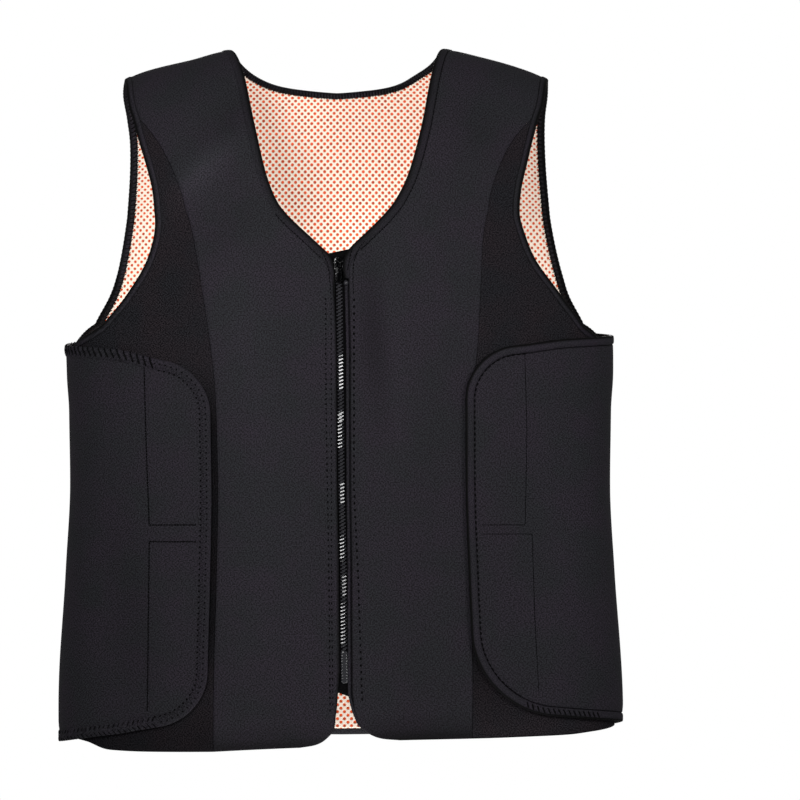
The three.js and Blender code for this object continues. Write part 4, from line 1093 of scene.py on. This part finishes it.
def flap_binding(name):
    """Folded tape on a flap's free edge: a flat lapped band on the right, a fuller roll on the left."""
    frames = flap_edge(name, 1.2)
    x, _, z = frames["point"].T
    tape = dict(FLAP_TAPE, width=FLAP_TAPE["width"][name])
    if name == "right":
        kind, lap, table = FLAP_BAND, TAPE_LAP, FLAP_BAND_SHADE
        ends = np.interp(np.abs(z - FLAP_MIDDLE), *kind["pucker_from_middle"])
        puckered = np.interp(x, *kind["pucker_x"]) * ends
        tape["outside"] = kind["outside"] + kind["swell"] * puckered
    else:
        kind, lap, table = FLAP_ROLL, 0.0, FLAP_ROLL_SHADE
        puckered = np.interp(x, *kind["pucker_x"]) * np.interp(z, *kind["pucker_z"])
    section = tape_section(frames, tape, kind["ribs"], puckered, lap)
    points, faces = sweep(frames, section)
    node = f"flap_binding_{name}"
    # The tape carries the painted shade and highlight of its table
    return make(f"{node}_tape", points, faces, ELASTIC, [node],
                shade=tape_shade(section, tape["width"], table))


def zip_frames(top, bottom, step):
    """Frames down the zip line."""
    z = np.linspace(top, bottom, max(3, round((top - bottom) / step)) + 1)
    point, normal = surface(1, true_place(1, zip_x(z), z))
    return {"point": point, "normal": normal, "out": np.tile([1.0, 0, 0], (len(z), 1)), "at": lengths(point)}


def oblong(frames, low, high, inner, outer, round_off=0.4, sides=16):
    """Section between two distances across and two distances off the surface, with rounded corners."""
    turn = np.linspace(0, 2 * math.pi, sides, endpoint=False)
    x = (low + high) / 2 + (high - low) / 2 * squared(np.cos(turn), round_off)
    y = (inner + outer) / 2 + (outer - inner) / 2 * squared(np.sin(turn), round_off)
    return np.broadcast_to(np.stack([x, y], -1), (len(frames["at"]), sides, 2))


def zip_tape(name):
    sign, span = SIDES[name], TAPE_SPAN
    frames = zip_frames(span["top"], span["bottom"], 4)
    frames["out"][:, 2] = np.linspace(span["top_slant"], span["bottom_slant"], len(frames["at"]))
    low, high = sorted((sign * span["inner"], sign * span["outer"]))
    points, faces = sweep(frames, oblong(frames, low, high, *ZIP_TAPE, 0.3))
    node = f"zip_tape_{name}"
    return make(f"{node}_twill", points, faces, TWILL, [node])


def bead(centre, axes, half, rings=7, sides=10, round_off=0.55, flat=False):
    """Rounded block at a centre, with its half sizes along three axes and domed or flat ends."""
    up = np.linspace(-math.pi / 2, math.pi / 2, rings)[1:-1, None]
    turn = np.linspace(0, 2 * math.pi, sides, endpoint=False)[None]
    girdle, height, x, y = (squared(value, round_off) for value in (np.cos(up), np.sin(up), np.cos(turn), np.sin(turn)))
    local = np.stack([girdle * x, girdle * y, height * np.ones_like(turn)], -1).reshape(-1, 3)
    crown = local[-1, 2] if flat else 1
    local = np.concatenate([local, [[0, 0, -crown], [0, 0, crown]]]) * half
    count = (rings - 2) * sides
    ids = np.arange(count).reshape(rings - 2, sides)
    ids = np.concatenate([ids, ids[:, :1]], axis=1)
    faces = [list(face) for face in grid_faces(ids)]
    faces += [[ids[0, k + 1], ids[0, k], count] for k in range(sides)]
    faces += [[ids[-1, k], ids[-1, k + 1], count + 1] for k in range(sides)]
    return centre + local @ axes, faces


def gathered(parts):
    """One set of points and faces from several."""
    points, faces, start = [], [], 0
    for part_points, part_faces in parts:
        points.append(part_points)
        faces += [[start + index for index in face] for face in part_faces]
        start += len(part_points)
    return np.concatenate(points), faces


def zip_chain():
    """Interlocked coil crowns in two staggered columns, each slanted and turned with the chain's ripple."""
    frames = zip_frames(CHAIN["top"], CHAIN["bottom"], CHAIN["pitch"])
    middle, half = (CHAIN["outer"] + CHAIN["inner"]) / 2, (CHAIN["outer"] - CHAIN["inner"]) / 2
    slant = math.radians(CROWN["slant"])
    dull_twist, dull_nod = np.radians(DULL_TURN)
    right = np.array([1.0, 0, 0])
    teeth = []
    for k, (point, normal) in enumerate(zip(frames["point"], frames["normal"])):
        side = 1 if k % 2 else -1
        flash = float(lookup(RIPPLE, "z", "left" if side < 0 else "right", point[2]))
        up = np.cross(normal, right)
        dull = unit(normal + right * math.sin(dull_twist) + up * math.sin(dull_nod))
        twist, nod = (math.radians(np.interp(point[2], FLASH_TURN["z"], FLASH_TURN[key])) for key in ("twist", "nod"))
        facing = unit(dull * (1 - flash) + np.array([math.sin(twist), -1, math.sin(nod)]) * flash)
        across = right * math.cos(slant) + up * math.sin(slant)
        across = unit(across - facing * (across @ facing))
        centre = point + normal * middle + right * CHAIN["stagger"] * side
        axes = np.stack([across, np.cross(facing, across), facing])
        teeth.append(bead(centre, axes, (*CROWN["half"], half), round_off=CROWN["round_off"], flat=True))
    points, faces = gathered(teeth)
    chain = make("zip_chain_teeth", points, faces, ACETAL, ["zip_chain"])
    chain.data.polygons.foreach_set("use_smooth", [len(face) > 3 for face in faces])
    return chain


def zip_box():
    frames = zip_frames(BOX["top"], BOX["bottom"], BOX["step"])
    section = np.array(oblong(frames, -BOX["half"], BOX["half"], BOX["inner"], BOX["outer"], 0.45))
    ends = np.minimum(frames["at"], frames["at"][-1] - frames["at"])
    rounding = np.sqrt(1 - (1 - np.clip(ends / BOX["pinch_over"], 0, 1)) ** 2)
    pinch = 1 - BOX["pinch"] + BOX["pinch"] * rounding
    middle = (BOX["inner"] + BOX["outer"]) / 2
    section[..., 1] = middle + (section[..., 1] - middle) * pinch[:, None]
    section[..., 0] *= pinch[:, None]
    along_ridges = frames["at"][:, None] - BOX["ridge_slant"] * section[..., 0]
    ridges = np.sin(2 * math.pi * along_ridges / BOX["ridge_pitch"])
    section[..., 1] += np.where(section[..., 1] > middle, BOX["ridge"] * ridges, 0)
    points, faces = sweep(frames, section)
    return make("zip_box_moulding", points, faces, ACETAL, ["zip_box"])


def zip_welt():
    """Piping beside the teeth, from a round knob under the slider to the hem, where it sinks under the corner."""
    seams = SEAMS["left"]
    line = np.concatenate([along(seams["corner"], np.linspace(WELT["corner_share"], 1, 40)), seams["edge"]])
    line = line[surface(1, line)[0][:, 2] < WELT["top"]]
    frames = trace([(1, line, 0.0)], 2.0)
    middle, half = WELT["from_edge"], WELT["width"] / 2
    sunk = np.interp(frames["point"][:, 2], *WELT["sinks"])[:, None]
    cord = np.array(oblong(frames, middle - half, middle + half, WELT["inner"], WELT["outer"], 0.9))
    flange = np.array(oblong(frames, WELT["flange"], middle, WELT["flange_inner"], 0.0))
    cord[..., 0] += sunk
    flange[..., 0] += sunk
    top, normal = at_length(frames, frames["at"][-1], middle, (WELT["inner"] + WELT["outer"]) / 2)
    axes = np.stack([[1.0, 0, 0], np.cross(normal, [1.0, 0, 0]), normal])
    knob = bead(top + normal * KNOB["lift"], axes, KNOB["half"], rings=11, sides=18, round_off=1.0)
    points, faces = gathered([sweep(frames, cord), sweep(frames, flange), knob])
    piping = make("zip_welt_piping", points, faces, ELASTIC, ["zip_welt"])
    return part_in(piping, ACETAL, np.arange(len(faces) - len(knob[1]), len(faces)))


def zip_seat():
    """Place of the slider on the front, with its axes across, up the zip and out."""
    z = np.array([float(SLIDER["centre"])])
    point, normal = surface(1, true_place(1, zip_x(z), z))
    out = unit(normal[0] * np.array([0, 1, 1]))
    across = np.array([1.0, 0, 0])
    return point[0], np.stack([across, np.cross(out, across), out])


def slab(outline, low, high, bevel, layers=4):
    """Closed plate over an outline of points, with rounded edges front and back."""
    outline = np.asarray(outline, float)
    ahead, behind = np.roll(outline, -1, axis=0), np.roll(outline, 1, axis=0)
    inward = unit((ahead - behind)[:, ::-1] * (-1, 1))
    turn = np.linspace(0, math.pi / 2, layers)
    draw = np.concatenate([1 - np.sin(turn), (1 - np.sin(turn))[::-1]]) * bevel
    level = np.concatenate([low + bevel * (1 - np.cos(turn)), high - bevel * (1 - np.cos(turn))[::-1]])
    rings = [np.column_stack([outline + inward * d, np.full(len(outline), z)]) for d, z in zip(draw, level)]
    ids = np.arange(len(rings) * len(outline)).reshape(len(rings), -1)
    ids = np.concatenate([ids, ids[:, :1]], axis=1)
    points = np.concatenate(rings)
    return points, tube(points, ids)


def rounded(width, height, radius, steps=6):
    """Outline of a rectangle with rounded corners about its middle, anticlockwise."""
    x, y = width / 2 - radius, height / 2 - radius
    points = []
    for k, (cx, cy) in enumerate([(x, -y), (x, y), (-x, y), (-x, -y)]):
        for t in np.linspace(-90, 0, steps) + 90 * k:
            points.append((cx + radius * math.cos(math.radians(t)), cy + radius * math.sin(math.radians(t))))
    return points


def zip_slider():
    """Two waisted plates joined by a post, with the pull's bridge arched over the front one."""
    seat, axes = zip_seat()
    front, back, thick, height = (SLIDER[key] for key in ("front", "back", "plate", "height"))
    plate = rounded(SLIDER["width"], height, SLIDER["corner"])
    waisted = [(x * (1 - SLIDER["waist"] * (1 - math.cos(math.pi * (0.5 - y / height))) / 2), y) for x, y in plate]
    post = [(x, y + height / 2 - POST["height"] / 2) for x, y in rounded(POST["width"], POST["height"], POST["corner"])]
    parts = [slab(waisted, front, front + thick, SLIDER["front_bevel"]),
             slab(waisted, back, back + thick, SLIDER["back_bevel"]),
             slab(post, back + thick - POST["sunk"], front + POST["sunk"], POST["bevel"])]
    face, reach = front + thick, BRIDGE["clear"] + BRIDGE["bar"] / 2
    bar, sunk = BRIDGE["bar"] / 2, BRIDGE["sunk"]
    turn = np.linspace(0, math.pi, 25)
    arch = np.stack([np.zeros(25), BRIDGE["above"] + reach * np.cos(turn),
                     face - sunk + (BRIDGE["inside"] + bar + sunk) * np.sin(turn) ** 0.6], -1)
    forward = unit(np.gradient(arch, axis=0))
    side = np.broadcast_to([1.0, 0, 0], arch.shape)
    frames = {"point": arch, "normal": np.cross(side, forward), "out": side, "at": lengths(arch)}
    parts.append(sweep(frames, oblong(frames, -BRIDGE["width"] / 2, BRIDGE["width"] / 2, -bar, bar, 0.6)))
    points, faces = gathered(parts)
    return make("zip_slider_casting", seat + points @ axes, faces, ENAMEL, ["zip_slider"])


def zip_pull():
    """Round-ended tab on two arms, with an axle between them in the slider's bridge."""
    seat, axes = zip_seat()
    lift = np.array([0, BRIDGE["above"], SLIDER["front"] + SLIDER["plate"] + PULL["above_plate"]])
    half, wide, tip = PULL["axle"] / 2, PULL["width"] / 2, PULL["end"] / 2
    arm = (PULL["width"] - PULL_SLOT["width"]) / 4 + PULL_SLOT["width"] / 2
    turn = np.linspace(math.pi, 2 * math.pi, 19)
    tab = [(tip * math.cos(t), -PULL["length"] + tip + tip * math.sin(t)) for t in turn]
    tab += [(wide, -PULL["neck"]), (wide, -PULL_SLOT["length"]), (-wide, -PULL_SLOT["length"]), (-wide, -PULL["neck"])]
    parts = [slab(tab, -half, half, PULL["bevel"])]
    bar = rounded((PULL["width"] - PULL_SLOT["width"]) / 2, PULL_SLOT["length"] + half, PULL_SLOT["corner"])
    for side in (-1, 1):
        parts.append(slab([(x + side * arm, y - (PULL_SLOT["length"] - half) / 2) for x, y in bar],
                          -half + PULL_SLOT["set_in"], half - PULL_SLOT["set_in"], PULL_SLOT["bevel"]))
    end = wide - PULL_SLOT["axle_sunk"]
    axle = np.stack([np.linspace(-end, end, 9), np.zeros(9), np.zeros(9)], -1)
    frames = {"point": axle, "normal": np.broadcast_to([0, 0, 1.0], axle.shape),
              "out": np.broadcast_to([0, 1.0, 0], axle.shape), "at": lengths(axle)}
    parts.append(sweep(frames, oblong(frames, -half, half, -half, half, 1.0)))
    points, faces = gathered(parts)
    return make("zip_pull_tab", seat + (points + lift) @ axes, faces, ENAMEL, ["zip_pull"],
                body="zip_pull")


def stitch(start, end, normal, radius):
    """One sewn stitch: a short thread that dips into the cloth at both ends."""
    forward = unit(end - start)
    side = unit(np.cross(normal, forward))
    up = np.cross(forward, side)
    turn = np.linspace(0, 2 * math.pi, STITCH_SIDES, endpoint=False)[:, None]
    ring = np.cos(turn) * side + np.sin(turn) * up
    rings = [start + (end - start) * share + up * lift * radius + ring * radius * thickness
             for share, thickness, lift in STITCH_RINGS]
    ids = np.arange(len(STITCH_RINGS) * STITCH_SIDES).reshape(-1, STITCH_SIDES)
    wrapped = np.concatenate([ids, ids[:, :1]], axis=1)
    return np.concatenate(rings), [list(face) for face in grid_faces(wrapped)] + [list(ids[0])[::-1], list(ids[-1])]


def at_length(frames, at, out=0.0, lift=0.0):
    """Point and normal at a length along frames, moved outward and lifted off the surface."""
    point, normal, side = (np.array([np.interp(at, frames["at"], frames[key][:, k]) for k in range(3)])
                           for key in ("point", "normal", "out"))
    return point + side * out + normal * lift, normal


def anywhere(_):
    return True


def running(frames, pitch, length, radius, out=0.0, lift=0.0, where=anywhere):
    """Even stitches in line along frames, wherever the given test of a point holds."""
    made = []
    for at in np.arange(pitch / 2, frames["at"][-1], pitch):
        a, normal = at_length(frames, at - length / 2, out, lift)
        b, _ = at_length(frames, at + length / 2, out, lift)
        if where(a):
            made.append(stitch(a, b, normal, radius))
    return made


def ladder(frames, pitch, low, high, slant, radius, lift, where=anywhere):
    """Slanted stitches laid across the line, from one distance outward to another."""
    made = []
    for at in np.arange(pitch / 2, frames["at"][-1], pitch):
        a, normal = at_length(frames, at - slant / 2, low, lift)
        b, _ = at_length(frames, at + slant / 2, high, lift)
        if where(a):
            made.append(stitch(a, b, normal, radius))
    return made


def zigzag(frames, pitch, low, high, radius, lift, where=anywhere):
    """Stitches that swing from one side of a line to the other and back."""
    marks = np.arange(0, frames["at"][-1], pitch / 2)
    stops = [at_length(frames, at, high if k % 2 else low, lift) for k, at in enumerate(marks)]
    return [stitch(a, b, normal, radius) for (a, normal), (b, _) in zip(stops, stops[1:]) if where(a)]


def line_on(sign, points, offset, step=2.0):
    """Frames along a line of true X and Z points on the front."""
    x, z = np.asarray(points, float).T
    t = np.linspace(0, len(x) - 1, 60)
    places = true_place(sign, np.interp(t, np.arange(len(x)), x), np.interp(t, np.arange(len(x)), z))
    return trace([(sign, places, offset(places) if callable(offset) else offset)], step)


def sewn(name, parts):
    points, faces = gathered(parts)
    return make(name, points, faces, THREAD)


def flap_face(name):
    """Offset of a flap's outer face as a function of places."""
    return lambda places: flap_inner(name, places) + FLAP_THICKNESS


def patch_sewing(name):
    """Close-set stitch lines across a flap's face."""
    parts = []
    for points in PATCH_LINES[name]:
        upright = points[0][1] != points[1][1] and name == "left"
        size = FINE_STITCH["patch_upright" if upright else "patch"]
        parts += running(line_on(SIDES[name], points, flap_face(name)), **size)
    return sewn(f"patch_sewing_{name}", parts)


def flap_sewing(name):
    """Sewing round a flap: cross stitches over the tape at its ends and a line or zigzag down the front."""
    frames = flap_edge(name, 1.6)

    def in_front(point):
        return point[0] > -FLAP_TURN

    def at_top(point):
        return point[0] < -FLAP_TURN and point[2] > FLAP_MIDDLE

    def at_foot(point):
        return point[0] < -FLAP_TURN and point[2] < FLAP_MIDDLE

    def up_to_turn(point):
        return point[0] < FLAP_TURN

    def past_turn(point):
        return FLAP_TURN <= point[0] < ROLL_SEWN_TO and point[2] < FLAP_MIDDLE

    if name == "right":
        parts = zigzag(frames, **CROSS_STITCH["band_swing"], where=in_front)
        for size, where in (("band_inner", in_front), ("band_outer", in_front), ("band_top", at_top),
                            ("band_foot_inner", at_foot), ("band_foot_outer", at_foot)):
            parts += ladder(frames, **CROSS_STITCH[size], where=where)
    else:
        parts = running(frames, **LONG_STITCH["flap"], where=up_to_turn)
        parts += ladder(frames, **CROSS_STITCH["roll_foot"], where=past_turn)
    return sewn(f"flap_sewing_{name}", parts)


def flap_seam_sewing(name):
    """Line of stitches that holds a flap to the back."""
    bottom, top = flap_lines(name)
    before_seam, short_of_end = -1.2, 3
    ends = straight(bottom[-1] + (before_seam, short_of_end), top[-1] + (before_seam, -short_of_end), 80)
    frames = trace([(SIDES[name], ends, flap_face(name)(ends))], 2.0)
    return sewn(f"flap_seam_sewing_{name}", running(frames, **LONG_STITCH["flap_seam"]))


def front_sewing(name):
    """Stitch lines beside the zip and round the neckline."""
    sign = SIDES[name]
    inward = -sign
    outer = PANEL[1] - 0.1
    neck = trace([(sign, SEAMS[name]["neck"], outer)], 1.5)
    lines, fine = FRONT_STITCHES, FINE_STITCH[f"{name}_neck"]
    parts = []
    if name == "right":
        for line in ("outside", "beside"):
            parts += running(line_on(sign, lines[line][:2], outer), **LONG_STITCH[f"{line}_upper"])
            parts += running(line_on(sign, lines[line][1:], outer), **LONG_STITCH[f"{line}_lower"])
        parts += running(neck, **fine, out=inward * 0.8, lift=0.25, where=lambda p: p[2] < NECK_LINE_BELOW)
        parts += running(line_on(sign, lines["turn"], outer), **fine, lift=0.2)
    else:
        parts += running(line_on(sign, lines["left"], outer), **LONG_STITCH["left"])
        parts += running(neck, **fine, out=inward * 1.5, lift=0.2)
        parts += running(line_on(sign, lines["on_tape"], outer), **fine, lift=0.8)
        parts += running(line_on(sign, lines["below_tape"], outer), **fine, lift=0.1)
        parts += running(line_on(sign, lines["tape_end"], outer), **FINE_STITCH["tape_end"])
    return sewn(f"front_sewing_{name}", parts)


def armhole_sewing(name):
    """Stitch line inside the armhole tape over the shoulder and front, and whipping over its back half."""
    sign = SIDES[name]
    upper = trace([(sign, SEAMS[name]["armhole_upper"], PANEL[1] - 0.1)], 1.5)
    parts = running(upper, **LONG_STITCH["armhole"], out=sign * -2.6)
    back = SEAMS[name]["armhole_back"]
    frames = trace([(sign, back if sign > 0 else back[::-1], ARMHOLE_TAPE["inside"])], 1.5)
    parts += ladder(frames, **CROSS_STITCH["armhole"])
    return sewn(f"armhole_sewing_{name}", parts)


def neck_sewing():
    """Whipping over the back half of the neck tape."""
    parts = []
    for name, sign in SIDES.items():
        back = SEAMS[name]["neck_back"]
        frames = trace([(sign, back[::-1] if sign > 0 else back, NECK_TAPE["inside"])], 1.5)
        parts += ladder(frames, **CROSS_STITCH["neck"])
    return sewn("neck_sewing", parts)


def build_vest():
    for name in SIDES:
        front, area = front_panel(name)
        zip_tape(name)
        front_sewing(name)
        side, area = side_panel(name)
        armhole_binding(name)
        armhole_sewing(name)
        flap, area = side_flap(name)
        trims = [flap_binding(name), patch_sewing(name), flap_sewing(name), flap_seam_sewing(name)]
    points, faces, cloth, shade, area = back_layer(PANEL, 0, STEP["back"])
    back = make("back_panel_knit", points, faces, NEOPRENE, ["back_panel"], cloth, shade=shade)
    neck_binding()
    neck_sewing()
    points, faces, cloth, _, area = back_layer(LINING, LINING_ABOVE_HEM, STEP["lining"])
    lining = make("back_lining_mesh", points, faces, DOTTED_MESH, ["back_lining"], cloth)
    for piece in (zip_chain, zip_box, zip_welt, zip_slider, zip_pull):
        piece()


def floor():
    """Pale round floor that fades out before its edge."""
    turn = np.linspace(0, 2 * math.pi, FLOOR["sides"], endpoint=False)
    mesh = bpy.data.meshes.new("floor")
    ring = [(FLOOR["radius"] * math.cos(t), FLOOR["radius"] * math.sin(t), FLOOR["height"]) for t in turn]
    mesh.from_pydata(ring, [], [list(range(FLOOR["sides"]))])
    material, tree, output = new_material("pale_floor")
    shader = add(tree, "ShaderNodeBsdfPrincipled", {"Base Color": linear("#f1f0ee"), "Roughness": 0.9})
    place = add(tree, "ShaderNodeNewGeometry").outputs["Position"]
    level = add(tree, "ShaderNodeVectorMath", {0: place, 1: (1, 1, 0)}, operation="MULTIPLY")
    reach = add(tree, "ShaderNodeVectorMath", {0: level.outputs[0]}, operation="LENGTH")
    near, far = FLOOR["fade"]
    fade = add(tree, "ShaderNodeMapRange", {"Value": reach.outputs["Value"], "From Min": near, "From Max": far},
               interpolation_type="SMOOTHSTEP")
    clear = add(tree, "ShaderNodeBsdfTransparent")
    mixed = add(tree, "ShaderNodeMixShader", {0: fade.outputs[0], 1: shader.outputs[0], 2: clear.outputs[0]})
    tree.links.new(mixed.outputs[0], output.inputs["Surface"])
    mesh.materials.append(material)
    disc = bpy.data.objects.new("floor", mesh)
    bpy.context.scene.collection.objects.link(disc)


def surround():
    """White all round, dimmer as a light than it looks."""
    world = bpy.data.worlds.new("studio_white")
    world.use_nodes = True
    tree = world.node_tree
    tree.nodes.clear()
    seen = add(tree, "ShaderNodeLightPath").outputs["Is Camera Ray"]
    strength = add(tree, "ShaderNodeMapRange", {"Value": seen, "To Min": SURROUND["light"],
                                                "To Max": SURROUND["seen"]})
    white = add(tree, "ShaderNodeBackground", {"Color": (1, 1, 1, 1), "Strength": strength.outputs[0]})
    add(tree, "ShaderNodeOutputWorld", {"Surface": white.outputs[0]})
    bpy.context.scene.world = world


def lights():
    """Key light at the left of the view, fills at the right and behind, and two for the lining, below and inside."""
    for name, given in LIGHTS.items():
        light = bpy.data.lights.new(name, "AREA")
        light.size, light.energy, light.spread = given["size"], given["watts"], math.radians(given["spread"])
        lamp = bpy.data.objects.new(name, light)
        lamp.location = given["at"]
        away = np.array(given["at"]) - np.array(given["aim"])
        lamp.rotation_euler = (math.atan2(math.hypot(away[0], away[1]), away[2]), 0,
                               math.atan2(away[0], -away[1]))
        lamp.visible_camera = False
        bpy.context.scene.collection.objects.link(lamp)


def view_camera():
    """Long lens straight on, a little to the right of the zip."""
    camera = bpy.data.objects.new("camera", bpy.data.cameras.new("camera"))
    camera.data.lens, camera.data.sensor_width, camera.data.clip_end = CAMERA["lens"], CAMERA["sensor"], CAMERA["far"]
    camera.location = CAMERA["at"]
    camera.rotation_euler = (math.pi / 2, 0, 0)
    bpy.context.scene.collection.objects.link(camera)
    bpy.context.scene.camera = camera
    bpy.context.scene.view_settings.view_transform = "Standard"


view_camera()
build_vest()
floor()
surround()
lights()
